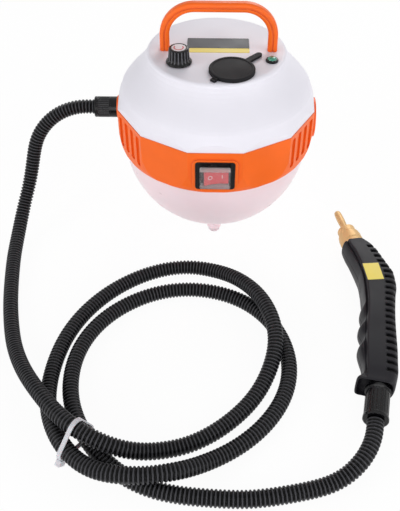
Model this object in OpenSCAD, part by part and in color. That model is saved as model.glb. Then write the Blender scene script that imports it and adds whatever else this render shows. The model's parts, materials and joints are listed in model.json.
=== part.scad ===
// Portable steam cleaner: a round body with a twelve-sided waist band, controls on a flat deck,
// a ribbed steam hose laid in two tied loops, and a hand gun lying on its side.
// Millimetres, +Z up, floor at z = 0, the rocker switch faces -Y.

/* [Body] */
// Height of the rubber feet
foot_h = 6; // [4:0.5:8]
// Outer radius of the bowl
bowl_r = 102; // [92:0.5:114]
// How much of the ball is cut off flat under the bowl
bowl_cut = 5; // [4:0.5:8]
// How far the corners of the twelve-sided band stand out from the bowl
band_out = 7.3; // [6.5:0.1:9]
// Height of the band
band_h = 49; // [47:0.5:54]
// Height of the shoulder above the band
dome_h = 58; // [54:0.5:64]
// Width of the shoulder seen from above
shoulder_w = 32.5; // [30:0.5:34]
// Wall of bowl and shoulder
wall = 2.8; // [2:0.1:3.2]
// Wall of the band at the middle of a panel
band_wall = 3.4; // [3:0.1:4]
// Height of the spigots that centre bowl and shoulder in the band
lap = 6; // [4:0.5:8]
// Clearance of the spigots in the band
lap_fit = 0.15; // [0.1:0.05:0.3]

/* [Band details] */
// Width of one recessed flute
flute_w = 8; // [6:0.5:10]
// Distance between flutes
flute_pitch = 13.6; // [12:0.2:14]
// Height of the flutes
flute_h = 36; // [30:1:40]
// Depth of the flutes
flute_d = 2.2; // [1:0.1:2.4]
// Diameter of the round pad on the right
pad_d = 43; // [36:1:46]
// Height of the round pad
pad_h = 3.5; // [2:0.1:5]

/* [Handle] */
// Distance from the handle to the edge of the deck
handle_edge = 8.65; // [6:0.05:11]
// Height of the handle above the deck
handle_h = 52; // [46:0.5:60]
// Outer corner radius of the handle
handle_corner = 36; // [26:1:42]
// Thickness of the handle seen from the front
handle_t = 10; // [8:0.1:12]
// Depth of the handle seen from the side
handle_d = 10; // [8:0.1:12]

/* [Deck parts] */
// Skirt diameter of the knob
knob_d = 26.7; // [24:0.1:30]
// Height of the knob
knob_h = 16; // [14:0.5:20]
// Radius of the control shaft
shaft_r = 3; // [2.5:0.1:3.2]
// Diameter of the filler lid
lid_d = 46.8; // [45:0.1:50]
// Height of the filler lid above the deck
lid_t = 4; // [3.5:0.1:6]
// Bore radius of the filler neck
neck_bore = 17.5; // [16:0.1:18]
// Wall of the filler neck
neck_wall = 1.5; // [1:0.1:2]
// Diameter of the lamp ring
lamp_d = 13; // [12:0.1:15]

/* [Switch] */
// Width of the switch frame
switch_w = 40.3; // [38:0.1:42]
// Height of the switch frame
switch_h = 33.2; // [31:0.1:34]
// Width of the clear cover
cover_w = 31.5; // [30:0.1:33]
// Height of the clear cover
cover_h = 21.6; // [21:0.1:24]
// How far the clear cover stands out of the panel
cover_out = 9.3; // [9:0.1:12]
// Angle between the two positions of the rocker
rocker_swing = 20; // [14:1:20]

/* [Hose] */
// Outer diameter of the hose over its ribs
hose_d = 15.8; // [15:0.1:16]
// Depth of the ribs
rib_h = 1; // [0.6:0.1:1.2]
// Bore radius of the hose
hose_bore = 5.6; // [5:0.1:6]
// Number of ribs
ribs = 180; // [120:1:200]
// Thread radius of the hose gland
gland_r = 7.9; // [7:0.1:8.5]
// Radius of the gland nut
gland_nut_r = 11.4; // [11:0.1:13]
// Length of the gland outside the band boss
gland_len = 25; // [23:0.1:28]

/* [Gun] */
// Height of the parting plane of the gun above the floor
gun_z = 18; // [18:0.1:20]
// Depth of the slots along the spine
slot_d = 2.2; // [1:0.1:2.6]
// Outer radius of the steam pipe in the gun
pipe_r = 4; // [3.4:0.1:4.2]
// Radius of the brass nozzle flange
nozzle_r = 12.7; // [12:0.1:14]
// Radius of the nozzle tip
tip_r = 3.9; // [3:0.1:4.5]
// Length of the nozzle from the gun to its tip
nozzle_len = 54; // [46:1:64]

/* [Hidden] */
$fn = 72;
eps = 0.01;

// Clearances
hole_fit = 0.15;
run_fit = 0.05;
thread_fit = 0.05;
tube_fit = 0.05;

// Body levels
sides = 12;
waist_z = foot_h + bowl_r - bowl_cut;
band_r = bowl_r + band_out;
deck_r = bowl_r - shoulder_w;
apothem = band_r * cos(180 / sides);
seam_z = waist_z + band_h;
deck_z = seam_z + dome_h;
under_z = deck_z - wall;
land_r = bowl_r - 2;
land_h = 9;
band_in = apothem - band_wall;
spigot_out = land_r - lap_fit;
spigot_in = spigot_out - wall;
floor_z = foot_h + wall;

// Shoulder profile
edge_r = 4;
knee_in = 0.4;
knee_up = 18;
flare_in = [3.3, -1.9];
flare_up = [5, 12];
slope_in = [5.6, -10.5];
slope_up = [10, -18];
knee = [bowl_r - knee_in, seam_z + knee_up];

// Feet and screws
foot_share = 0.43137;
foot_pos = foot_share * bowl_r;
foot_r = 6.5;
boss_r = 8;
boss_sink = 1.82;
boss_top = waist_z - sqrt(bowl_r * bowl_r - foot_pos * foot_pos) + boss_sink;
foot_head_h = 2.2;
foot_head_r = 3.2;
foot_screw_r = 1.6;
foot_seat = foot_h / 2;
foot_screw_over = 0.2;
foot_screw_len = boss_top + foot_screw_over - foot_seat;
post_in = 18;
post_pos = bowl_r - post_in;
post_r = 6.5;
plate_up = 1;
post_top = waist_z + plate_up;
plate_in = 10;
plate_r = bowl_r - plate_in;
plate_t = 1.5;
plate_top = post_top + plate_t;
recess_r = 4.5;
recess_d = 16.862;
recess_z = waist_z - sqrt(bowl_r * bowl_r - post_pos * post_pos) + recess_d;
screw_r = 2;
screw_head_r = 4;
screw_head_h = 3;
screw_reach = 16;

// Handle
handle_pos = deck_r * [0.0259, -0.02158];
handle_w = 2 * (deck_r - handle_edge);
handle_round = 3.2;
groove_w = 1.6;
groove_d = 0.8;
peg_r = 3.2;
peg_screw_r = 1.5;
peg_head_r = 4.6;
peg_head_h = 2.4;
peg_screw_len = 16;
leg_x = handle_w / 2 - handle_t / 2;

// Knob and control
knob_pos = deck_r * [-0.55108, -0.42302];
knob_gap = 0.6;
knob_top_r = knob_d / 2 - 3.1;
knob_cap_r = knob_top_r - 3;
knob_cap_t = 0.8;
flutes = 20;
bush_r = shaft_r + 1.9;
bush_h = 4;
nut_t = 2.6;
nut_r = bush_r + 2.1;
control_r = 13;
control_h = 16;
shaft_low = under_z - 11;
end_gap = 0.3;

// Filler: the lid takes its place from its anchor, which stays clear of the edge of the deck
lid_dir = 47;
hinge_x = lid_d / 2 + 1.4;
anchor_gap = 0.4;
anchor_len = 3.6;
anchor_x = hinge_x + anchor_gap + anchor_len / 2;
anchor_edge = 3.6824;
anchor_dir = -92.6236;
lid_pos = (deck_r - anchor_edge) * [cos(anchor_dir), sin(anchor_dir)]
    + anchor_x * [cos(lid_dir), sin(lid_dir)];
neck_r = neck_bore + neck_wall;
neck_flange_r = lid_d / 2 - 2.6;
neck_flange_t = 1.2;
lid_gap = 0.3;
skirt_r = neck_flange_r + 0.6;
skirt_z = deck_z + lid_gap;
lid_z = deck_z + neck_flange_t + lid_gap;
plug_r = neck_bore - 1;
plug_wall = 2;
plug_h = 5;
tab_w = 6.5;
tab_clear = 10.62;
leg_in = handle_pos[0] + leg_x - handle_t / 2;
tab_len = (leg_in - lid_pos[0]) / cos(lid_dir) - lid_d / 2 - tab_clear;
tab_z = deck_z + 0.9;
tab_t = 2.4;
hinge_z = deck_z + 1.9;
lug_z = deck_z + 0.7;
lug_w = 6;
knuckle_r = 1.2;
knuckle_fit = 0.3;
anchor_h = hinge_z - deck_z + 0.2;
stem_r = 1.2;
tank_drop = 11;
tank_top = waist_z - tank_drop;

// Lamp
lamp_pos = deck_r * [0.81151, -0.35108];
lamp_stem_r = lamp_d / 2 - 1.7;
lens_r = lamp_d / 2 - 1.8;
lens_stem_r = lamp_stem_r - 0.9;
lamp_flange = 2.4;
lamp_stem = 12;
lamp_nut_t = 3;

// Switch
switch_up = 22.5;
switch_z = waist_z + switch_up;
switch_round = 3;
frame_t = 2.2;
rim_w = 3;
rim_out = 1.6;
rim_gap = 0.2;
sleeve_d = 8;
sleeve_wall = 2;
cover_t = 1.2;
cover_fit = 0.2;
ledge = 0.7;
seat_z = 0.8;
well_w = cover_w + 2 * cover_fit - 2 * ledge;
well_h = cover_h + 2 * cover_fit - 2 * ledge;
body_fit = 0.1;
body_top = -3.5;
body_d = 24;
pivot_z = -3;
pin_r = 1.5;
rocker_w = well_w - 5.6;
rocker_h = well_h - 3.6;
rocker_pin = 1.5;
pocket_gap = 0.3;

// Gland
gland_drop = 15;
gland_pos = [2, seam_z - gland_drop];
boss_t = 1.7;
boss_face = 2 * boss_t;
gland_end = boss_face + gland_len;
gland_collar = 7;
inner_drop = 1;
inner_face = land_r - inner_drop;
gland_pad_r = gland_nut_r + 1.4;
gland_pad_fit = 0.3;
locknut_t = 5;
gland_tail = 12;
stub_len = 6;
stub_r = 3;
tube_in = stub_r + tube_fit;
tube_out = stub_r + 1.6;
gland_bore = 2.2;

// Mains bush
bush_up = 20;
bush_z = waist_z + bush_up;
mains_r = 3.6;
mains_sleeve = mains_r + 2.6;
mains_flange = mains_r + 5.4;

// Inside
tank_side = 3.5;
tank_r = post_pos - post_r - tank_side;
tank_gap = 3.2;
tank_wall = 2;
collar_h = 6;
collar_t = 2;
post_xy = post_pos * cos(45);
post_tube = 4.297;
bend_r = (post_xy - post_r - tube_out - post_tube - gland_pos[0]) / 3;
tube_lead = 3.476;
tube_gap = 1;
pump_r = 12.5;
pump_lift = 1;
tube_x = -(apothem - gland_tail - tube_lead - bend_r);
pump_pos = [tube_x + tube_gap + tube_out + pump_r, 0, plate_top + pump_r + pump_lift];
pump_in = 29.397;
pump_len = 2 * (post_xy - pump_in);
port_y = -pump_len / 3;
port_z = plate_top + 0.5;
bracket_w = 30;
bracket_d = 0.4 * pump_len;
feed_run = 6;
heater_w = 44;
heater_h = 36;
heater_in = 26;
post_heater = 14.897;
heater_pos = [pump_pos[0] + bend_r + feed_run, plate_r - heater_w - heater_in];
heater_size = [post_xy - post_r - post_heater - heater_pos[0], heater_w, heater_h];
leg_in_heater = 8;
fin_first = 14;
fin_pitch = 12;
fin_gap = 6;
duct_d = 30;
cutout_base = [24, 10, 1];
heater_leg = 6.5;
heater_z = plate_top + heater_leg;
feed_y = pump_pos[1] + pump_len / 2 + stub_len;
inlet_y = feed_y + bend_r;
outlet_y = gland_pos[0] + 3 * bend_r;
element_in = 8;
element_y = heater_pos[1] + heater_size[1] - element_in;
element_z = heater_z + 16;
element_r = 4;
element_over = 6;
board_size = [44, 44, 1.6];
board_in = 4;
board_gap = 1;
board_pos = [plate_r - board_size[0] - board_in, heater_pos[1] - board_size[1] - board_gap];
hole_in = 4;
relay_at = [4, 6];
relay_size = [14, 20, 14];
cap_at = [26, 9];
cap_r = 5;
cap_h = 17;
sink_at = [26, 18];
sink_size = [12, 3, 20];
fins = 4;
fin_t = 1.2;
fin_len = 10;
strip_at = [5, 33];
strip_size = [30, 8, 10];
solder = 0.6;
board_leg = 6.5;
board_z = plate_top + board_leg;

// Hose ends
hose_r = hose_d / 2;
hose_start = [-apothem - gland_end, gland_pos[0], gland_pos[1]];
lead = 7;

// Gun stations along its length: distance from its datum, butt to muzzle, against offset from its own line
gun_at = [150, -300];
gun_len = 213;
butt_m = 9.5;
butt_axis = 5.02;
butt_tilt = -12.25;
muzzle_tilt = 12;
gun_tilt = [[butt_m, butt_tilt], [60, -4], [120, 0], [170, 6], [gun_len, muzzle_tilt]];
gun_front = [
    [butt_m, -14.6], [butt_m + 1, -15.8], [butt_m + 3, -15], [butt_m + 6.5, -10.6],
    [butt_m + 10.5, -8.6], [butt_m + 16.5, -7.6], [32, -7.3], [50.5, -9.3],
    [64, -3.5], [77, -5.2], [88, -0.1], [100.5, -0.3], [113.5, 2.7], [123, 2.9], [140, 3],
    [154, 2.5], [162, 1], [183, -4.9], [207, -6.7], [gun_len, -6.2]
];
gun_back = [
    [butt_m, 17.6], [butt_m + 1, 19.4], [butt_m + 6, 22], [28.5, 26.5], [36, 28], [53.5, 31],
    [66, 32.5], [79, 34.2], [89, 35.6], [101.5, 37.5], [113.5, 39.5], [123, 41], [138, 43],
    [152, 42.5], [160, 40.1], [179, 33.5], [202.5, 27], [208.5, 22], [gun_len, 18]
];
gun_half = [
    [butt_m, 12.4], [butt_m + 1, 13.6], [butt_m + 4.5, 13.9], [26, 15.5], [60, 17], [139, 18], [181, 16.5],
    [205, 14.5], [gun_len, 12.6]
];
// Line where the rounded front strip meets the flat side
gun_crease = [
    [butt_m, -7.6], [19, -6.2], [55, -2.1], [78, 1.5], [102, 5.6], [123, 6.6], [147, 5.2], [167, 3.4],
    [187, -0.2], [195, -1.6], [gun_len, -2.6]
];
// Section of a half from back to front: place between crease and back (or front, below 0),
// height with and without the crease, outward direction, share of the slot depth
gun_section = [
    [1, 0, 0, [1, 0], 1], [0.99, 0.38, 0.38, [0.95, 0.3], 1], [0.95, 0.66, 0.66, [0.85, 0.53], 1],
    [0.87, 0.86, 0.86, [0.6, 0.8], 1], [0.74, 0.97, 0.97, [0.25, 0.97], 0.8],
    [0.58, 1, 1, [0, 1], 0], [0.12, 1, 1, [0, 1], 0], [0.04, 0.95, 1, [0, 1], 0],
    [0, 0.78, 1, [0, 1], 0], [-0.3, 0.8, 1, [0, 1], 0], [-0.65, 0.7, 0.97, [0, 1], 0],
    [-0.9, 0.42, 0.84, [0, 1], 0], [-1, 0, 0, [0, 1], 0]
];
gun_axis = [[butt_m, butt_axis], [26, 8.5], [52, 12], [88.6, 17.8], [113.5, 21], [139, 22.8], [161, 20.2],
    [181, 14.3], [205, 9.2], [gun_len, 5.9]];
slots = 22;
slot_first = 26.7;
slot_last = 18.93;
slot_pitch = (gun_len - slot_first - slot_last) / (slots - 1);
slot_w = 2.6;
slot_edge = 4;
slot_slant = 9;
slant_run = 18;
pipe_fit = 0.6;
pipe_bore = pipe_r - 1.4;
con_len = 35.3;
con_r = 12.2;
con_flutes = 18;
nozzle_seat = 12;
nozzle_body = 25;
tip_fit = 0.05;
socket_r = tip_r - 0.5;
tip_bore = 1.6;

// Fall of the hose from the gland: share of the way out, offset, share of the height
drop_x = -225;
hose_drop = [
    [0.2782, 1.5, 0.9876], [0.4254, 0.3, 0.9504], [0.5639, -1.9, 0.8877], [0.6792, -4.8, 0.8033],
    [0.7638, -8.2, 0.701], [0.811, -11.9, 0.5856], [0.8517, -17.5, 0.45], [0.9011, -25, 0.3106],
    [0.9561, -38, 0.1944], [0.989, -56, 0.1015], [1, -79, 0.0395], [1, -102, 0.0085]
];
// Route of the hose from there, on the floor at hose_r and in two loops
hose_route = [
    [-222, -130, 8], [-215, -178, 8], [-204, -222, 9], [-195, -247, 13], [-181, -276, 20],
    [-162, -305, 28], [-141, -331, 31], [-124.2, -346.3, 33.3], [-107.1, -356.5, 31.7], [-89.8, -361.8, 26.8],
    [-73.9, -362.4, 20.2], [-58, -360, 14], [-40, -355, 10], [-22, -349, 8], [0, -337, 8],
    [22, -318, 8], [40, -296, 8], [52, -274, 11], [60, -252, 17], [63, -230, 22.1],
    [59, -204, 25.5], [47, -174, 25], [26, -145, 18], [2, -126, 10], [-28, -118, 8],
    [-59, -124, 8], [-89, -140, 8], [-116, -164, 8], [-137, -194, 8], [-150, -226, 8],
    [-156, -261, 8], [-156, -294, 9], [-150, -322, 13], [-138, -348, 16], [-122, -368, 17],
    [-103, -382, 20], [-81.1, -389.2, 24.2], [-57.1, -390.5, 25.8], [-35.8, -385.2, 23.1], [-18, -377, 17],
    [2, -364, 10], [22, -351, 8], [44, -332, 8], [63, -306, 8], [74, -277, 8],
    [76, -246, 8], [68, -213, 8], [51, -186, 8], [28, -167, 8], [-0, -156, 8],
    [-30, -153, 8], [-60, -159, 8], [-88, -174, 8], [-112, -196, 8], [-129, -224, 8],
    [-137, -256, 8], [-136, -289, 9], [-128, -318, 11], [-114, -344, 12], [-97, -365, 11],
    [-77, -381, 9], [-53, -392.5, 8], [-27, -398, 8], [2, -400, 8], [32, -401, 8],
    [62, -396, 8.2], [95.2, -388.2, 7.7], [112, -380.7, 9.9], [122.5, -373.6, 13], [132.3, -363.8, 15.4],
    [140.4, -351, 17.3]
];
tie_at = [22.3, 48.7, 72.9];
tie_slack = [0.4, 0.8, 1.4];
tie_t = 1.4;
tie_w = 4;
tie_head = [9, 6, 5];

// Curves and lists
function bez(a, b, c, d, n) = [for (i = [0:n]) let(t = i / n)
    a * pow(1 - t, 3) + 3 * b * t * pow(1 - t, 2) + 3 * c * t * t * (1 - t) + d * pow(t, 3)];
function arc(c, r, from, to, n) = [for (i = [0:n]) let(a = from + (to - from) * i / n)
    c + r * [cos(a), sin(a)]];
function unit(v) = v / norm(v);
function inset(p, d) = [for (i = [0:len(p) - 1])
    let(t = unit(p[min(i + 1, len(p) - 1)] - p[max(i - 1, 0)])) p[i] + d * [-t[1], t[0]]];
function round_pts(w, h, r, n = 6) = concat(
    arc([w / 2 - r, h / 2 - r], r, 0, 90, n), arc([r - w / 2, h / 2 - r], r, 90, 180, n),
    arc([r - w / 2, r - h / 2], r, 180, 270, n), arc([w / 2 - r, r - h / 2], r, 270, 360, n));
function soft(u, tab, d) = (lookup(u - d, tab) + 2 * lookup(u, tab) + lookup(u + d, tab)) / 4;

// Shoulder profile from the seam up to the deck edge
flare_pts = bez([band_r + 0.3, seam_z], [band_r - flare_in[0], seam_z + flare_up[0]],
    [knee[0] - flare_in[1], seam_z + flare_up[1]], knee, 6);
slope_pts = bez(knee, [knee[0] - slope_in[0], knee[1] + slope_up[0]],
    [deck_r - slope_in[1], deck_z + slope_up[1]], [deck_r + edge_r, deck_z - edge_r], 10);
edge_pts = arc([deck_r, deck_z - edge_r], edge_r, 12, 90, 5);
shoulder_pts = concat(slope_pts, edge_pts);

module round_rect(w, h, r) {
    polygon(round_pts(w, h, r));
}

module prism(r, z, h) {
    translate([0, 0, z])
        rotate(180 / sides)
            cylinder(r = r, h = h, $fn = sides);
}

module on_front(z) {
    translate([0, -apothem, z])
        rotate([90, 0, 0])
            children();
}

module on_left() {
    translate([-apothem, gland_pos[0], gland_pos[1]])
        rotate([0, -90, 0])
            children();
}

module on_rear(z) {
    translate([0, apothem, z])
        rotate([-90, 0, 0])
            children();
}

module at_deck(p, z = deck_z) {
    translate([p[0], p[1], z])
        children();
}

module four(start, r) {
    for (a = [0:90:270])
        rotate(start + a)
            translate([r, 0, 0])
                children();
}

// Bowl
module bowl_ball(r) {
    translate([0, 0, waist_z])
        sphere(r);
}

module bowl_form() {
    intersection() {
        bowl_ball(bowl_r);
        translate([0, 0, foot_h])
            cylinder(r = bowl_r + 1, h = waist_z - foot_h);
    }
    four(0, foot_pos)
        translate([0, 0, foot_h])
            cylinder(r = boss_r, h = boss_top - foot_h);
}

module bowl_hollow() {
    intersection() {
        bowl_ball(bowl_r - wall);
        translate([0, 0, floor_z])
            cylinder(r = bowl_r, h = waist_z - floor_z);
    }
}

module spigot(low, high) {
    translate([0, 0, low])
        difference() {
            cylinder(r = spigot_out, h = high - low);
            translate([0, 0, -1])
                cylinder(r = spigot_in, h = high - low + 2);
        }
}

module lower_shell() {
    color("MistyRose")
        difference() {
            union() {
                difference() {
                    bowl_form();
                    bowl_hollow();
                }
                spigot(waist_z - lap, waist_z + lap);
                intersection() {
                    four(45, post_pos)
                        cylinder(r = post_r, h = post_top);
                    bowl_ball(bowl_r - wall / 2);
                }
            }
            four(45, post_pos)
                cylinder(r = recess_r, h = recess_z);
            four(45, post_pos)
                cylinder(r = screw_r + hole_fit, h = post_top + 1);
            four(0, foot_pos)
                cylinder(r = foot_screw_r + thread_fit, h = foot_seat + foot_screw_len + 1);
        }
}

module feet() {
    color("DimGray")
        four(0, foot_pos)
            rotate_extrude()
                polygon([
                    [foot_screw_r + hole_fit, foot_seat], [foot_head_r + 0.4, foot_seat],
                    [foot_head_r + 0.4, 0], [foot_r - 0.9, 0], [foot_r, 1.2], [foot_r, foot_h],
                    [foot_screw_r + hole_fit, foot_h]
                ]);
}

module foot_screws() {
    color("Silver")
        four(0, foot_pos) {
            translate([0, 0, foot_seat - foot_head_h])
                cylinder(r = foot_head_r, h = foot_head_h);
            translate([0, 0, foot_seat - eps])
                cylinder(r = foot_screw_r, h = foot_screw_len);
        }
}

module shell_screws() {
    color("Silver")
        four(45, post_pos) {
            translate([0, 0, recess_z - screw_head_h])
                cylinder(r = screw_head_r, h = screw_head_h);
            translate([0, 0, recess_z - eps])
                cylinder(r = screw_r, h = plate_top + screw_reach - recess_z);
        }
}

// Waist band
module band_form() {
    intersection() {
        prism(band_r, waist_z, band_h);
        rotate_extrude()
            polygon([
                [0, waist_z], [bowl_r + 4, waist_z], [bowl_r + 5.5, waist_z + 5],
                [band_r - 0.3, waist_z + 0.347 * band_h], [band_r + 0.3, waist_z + 0.653 * band_h],
                [band_r + 0.3, seam_z], [0, seam_z]
            ]);
    }
}

module band_hollow() {
    rotate_extrude()
        polygon([
            [0, waist_z - 1], [land_r, waist_z - 1], [land_r, waist_z + land_h],
            [band_in, waist_z + land_h + 2], [band_in, seam_z - land_h - 2],
            [land_r, seam_z - land_h], [land_r, seam_z + 1], [0, seam_z + 1]
        ]);
}

module band_flutes() {
    for (a = [-60, 60])
        rotate(a)
            for (i = [-1.5:1:1.5])
                on_front(waist_z + band_h / 2 + 1.5)
                    translate([i * flute_pitch, 0, -flute_d])
                        linear_extrude(flute_d + 4)
                            round_rect(flute_w, flute_h, flute_w / 3);
}

module switch_rim() {
    w = switch_w + 2 * rim_gap + 2 * rim_w;
    h = switch_h + 2 * rim_gap + rim_w;
    on_front(switch_z + 0.6)
        translate([0, 0, -band_wall / 2])
            linear_extrude(band_wall / 2 + rim_out)
                round_rect(w, h, switch_round + rim_w);
}

module waist_band() {
    color("OrangeRed")
        difference() {
            union() {
                difference() {
                    union() {
                        band_form();
                        on_left()
                            translate([0, 0, -band_wall / 2]) {
                                cylinder(r = gland_nut_r + 2.6, h = band_wall / 2 + boss_t);
                                cylinder(r = gland_nut_r, h = band_wall / 2 + boss_face);
                            }
                        translate([apothem - band_wall / 2, 0, waist_z + band_h / 2 + 0.5])
                            rotate([0, 90, 0])
                                cylinder(r = pad_d / 2, h = band_wall / 2 + pad_h);
                        switch_rim();
                    }
                    band_hollow();
                }
                translate([-apothem + band_wall / 2, gland_pos[0], gland_pos[1]])
                    rotate([0, 90, 0])
                        cylinder(r = gland_pad_r, h = apothem - band_wall / 2 - inner_face);
            }
            band_flutes();
            on_front(switch_z)
                linear_extrude(rim_out + 1)
                    round_rect(switch_w + 2 * rim_gap, switch_h + 2 * rim_gap, switch_round);
            on_front(switch_z)
                translate([0, 0, -12])
                    linear_extrude(14)
                        round_rect(well_w + 2 * sleeve_wall + 2 * hole_fit,
                            well_h + 2 * sleeve_wall + 2 * hole_fit, 2);
            on_left()
                translate([0, 0, -12])
                    cylinder(r = gland_r + hole_fit, h = 20);
            on_rear(bush_z)
                translate([0, 0, -12])
                    cylinder(r = mains_sleeve + hole_fit, h = 14);
        }
}

// Shoulder
module shoulder_form() {
    intersection() {
        prism(band_r - 0.7, seam_z, dome_h);
        rotate_extrude()
            polygon(concat([[0, seam_z]], flare_pts, shoulder_pts, [[0, deck_z]]));
    }
}

module shoulder_hollow() {
    in_pts = inset(concat(flare_pts, shoulder_pts), wall);
    rotate_extrude()
        polygon(concat(
            [[0, seam_z - 1], [spigot_in, seam_z - 1], [spigot_in, seam_z + 5]],
            [for (p = in_pts) if (p[1] > seam_z + 6) [min(p[0], band_in - 0.7), p[1]]],
            [[0, under_z]]));
}

module post_trim() {
    rotate_extrude()
        polygon(concat([[0, 0], [knee[0] - wall, 0]], inset(shoulder_pts, wall / 2),
            [[0, deck_z - wall / 2]]));
}

module upper_shell() {
    color("GhostWhite")
        difference() {
            union() {
                difference() {
                    shoulder_form();
                    shoulder_hollow();
                }
                spigot(seam_z - lap, seam_z + 4);
                intersection() {
                    four(45, post_pos)
                        translate([0, 0, plate_top])
                            cylinder(r = post_r, h = deck_z - plate_top);
                    post_trim();
                }
            }
            four(45, post_pos)
                translate([0, 0, plate_top - 1])
                    cylinder(r = screw_r + thread_fit, h = screw_reach + 3);
            on_left()
                translate([0, 0, -gland_tail - 2])
                    cylinder(r = gland_pad_r + gland_pad_fit, h = gland_tail + 2 - band_wall);
            for (s = [-1, 1])
                at_deck(handle_pos + [s * leg_x, 0], under_z - 1)
                    cylinder(r = peg_r + hole_fit, h = wall + 2);
            at_deck(knob_pos, under_z - 1)
                cylinder(r = bush_r + hole_fit, h = wall + 2);
            at_deck(lid_pos, under_z - 1)
                cylinder(r = neck_r + hole_fit, h = wall + 2);
            at_deck(lamp_pos, under_z - 1)
                cylinder(r = lamp_stem_r + hole_fit, h = wall + 2);
            lid_frame()
                translate([-anchor_x, 0, under_z - 1])
                    cylinder(r = stem_r + hole_fit, h = wall + 2);
        }
}

// Handle
module handle_section() {
    difference() {
        round_rect(handle_t, handle_d, handle_round);
        for (s = [-1, 1])
            translate([0, s * handle_d / 2])
                square([groove_w, 2 * groove_d], center = true);
    }
}

module handle_half() {
    corner_r = handle_corner - handle_t / 2;
    translate([leg_x, 0, 0])
        linear_extrude(handle_h - handle_corner)
            handle_section();
    translate([handle_w / 2 - handle_corner, 0, handle_h - handle_corner])
        rotate([90, 0, 0])
            rotate_extrude(angle = 90)
                translate([corner_r, 0])
                    handle_section();
    translate([-eps, 0, handle_h - handle_t / 2])
        rotate([0, 90, 0])
            linear_extrude(handle_w / 2 - handle_corner + eps)
                handle_section();
    translate([leg_x, 0, -wall])
        cylinder(r = peg_r, h = wall + 1);
}

module carry_handle() {
    color("OrangeRed")
        at_deck(handle_pos)
            difference() {
                union() {
                    handle_half();
                    mirror([1, 0, 0])
                        handle_half();
                }
                for (s = [-1, 1])
                    translate([s * leg_x, 0, -wall - 1])
                        cylinder(r = peg_screw_r + thread_fit, h = peg_screw_len + 2);
            }
}

module handle_screws() {
    color("Silver")
        for (s = [-1, 1])
            at_deck(handle_pos + [s * leg_x, 0], under_z) {
                translate([0, 0, -peg_head_h])
                    cylinder(r = peg_head_r, h = peg_head_h);
                translate([0, 0, -eps])
                    cylinder(r = peg_screw_r, h = peg_screw_len);
            }
}

// Control knob
module knob() {
    r = knob_d / 2;
    color("Black")
        at_deck(knob_pos, deck_z + knob_gap)
            difference() {
                rotate_extrude()
                    polygon([
                        [0, 0], [r, 0], [r, 1.2], [r - 1.2, 2.4], [knob_top_r + 0.6, 4.4],
                        [knob_top_r + 0.3, 6], [knob_top_r, knob_h - 1.2],
                        [knob_top_r - 0.8, knob_h], [0, knob_h]
                    ]);
                for (i = [1:flutes - 1])
                    rotate(180 + i * 360 / flutes)
                        translate([knob_top_r + 0.7, 0, 4.4])
                            cylinder(r = 1, h = knob_h);
                rotate(180)
                    translate([knob_cap_r + 0.6, -0.8, 4])
                        cube([r, 1.6, knob_h]);
                translate([0, 0, -1])
                    cylinder(r = nut_r + 0.8, h = bush_h + 2);
                cylinder(r = shaft_r + run_fit, h = knob_h - 4);
                translate([0, 0, knob_h - knob_cap_t])
                    cylinder(r = knob_cap_r + run_fit, h = knob_cap_t + 1);
            }
}

module knob_cap() {
    color("White")
        at_deck(knob_pos, deck_z + knob_gap + knob_h - knob_cap_t)
            cylinder(r = knob_cap_r, h = knob_cap_t);
}

module control_shaft() {
    color("Silver")
        at_deck(knob_pos, shaft_low)
            cylinder(r = shaft_r, h = deck_z + knob_gap + knob_h - 4 - shaft_low);
}

module control_body() {
    color("SlateGray")
        at_deck(knob_pos, under_z)
            difference() {
                union() {
                    translate([0, 0, -control_h])
                        cylinder(r = control_r, h = control_h);
                    translate([0, 0, -1])
                        cylinder(r = bush_r, h = wall + bush_h + 1);
                    translate([-control_r - 5, -6, -control_h])
                        cube([8, 12, 3]);
                }
                translate([0, 0, shaft_low - end_gap - under_z])
                    cylinder(r = shaft_r + run_fit, h = control_h + 10);
            }
}

module control_nut() {
    color("Silver")
        at_deck(knob_pos)
            difference() {
                cylinder(r = nut_r, h = nut_t, $fn = 6);
                translate([0, 0, -1])
                    cylinder(r = bush_r + thread_fit, h = nut_t + 2);
            }
}

// Filler
module lid_frame() {
    translate([lid_pos[0], lid_pos[1], 0])
        rotate(lid_dir)
            children();
}

module on_hinge(w) {
    translate([-hinge_x, w / 2, hinge_z])
        rotate([90, 0, 0])
            children();
}

module filler_neck() {
    color("WhiteSmoke")
        translate([lid_pos[0], lid_pos[1], 0])
            rotate_extrude()
                polygon([
                    [neck_bore, tank_top], [neck_r, tank_top], [neck_r, deck_z],
                    [neck_flange_r, deck_z], [neck_flange_r, deck_z + neck_flange_t],
                    [neck_bore, deck_z + neck_flange_t]
                ]);
}

module filler_lid() {
    r = lid_d / 2;
    top = deck_z + lid_t;
    color("DarkSlateGray")
        lid_frame() {
            rotate_extrude()
                polygon([
                    [0, lid_z], [skirt_r, lid_z], [skirt_r, skirt_z], [r, skirt_z],
                    [r, top - 0.9], [r - 0.9, top], [r - 2.8, top],
                    [r - 3.6, top - 0.7], [0, top - 0.7]
                ]);
            rotate_extrude()
                translate([plug_r - plug_wall, lid_z - plug_h])
                    square([plug_wall, plug_h + 1]);
            translate([r - 1, -tab_w / 2, tab_z])
                cube([tab_len + 1 - tab_w / 2, tab_w, tab_t]);
            translate([r + tab_len - tab_w / 2, 0, tab_z])
                cylinder(r = tab_w / 2, h = tab_t);
            translate([-hinge_x, -lug_w / 2, lug_z])
                cube([hinge_x - r + 1.2, lug_w, hinge_z - lug_z]);
            on_hinge(lug_w)
                cylinder(r = knuckle_r, h = lug_w);
        }
}

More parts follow.
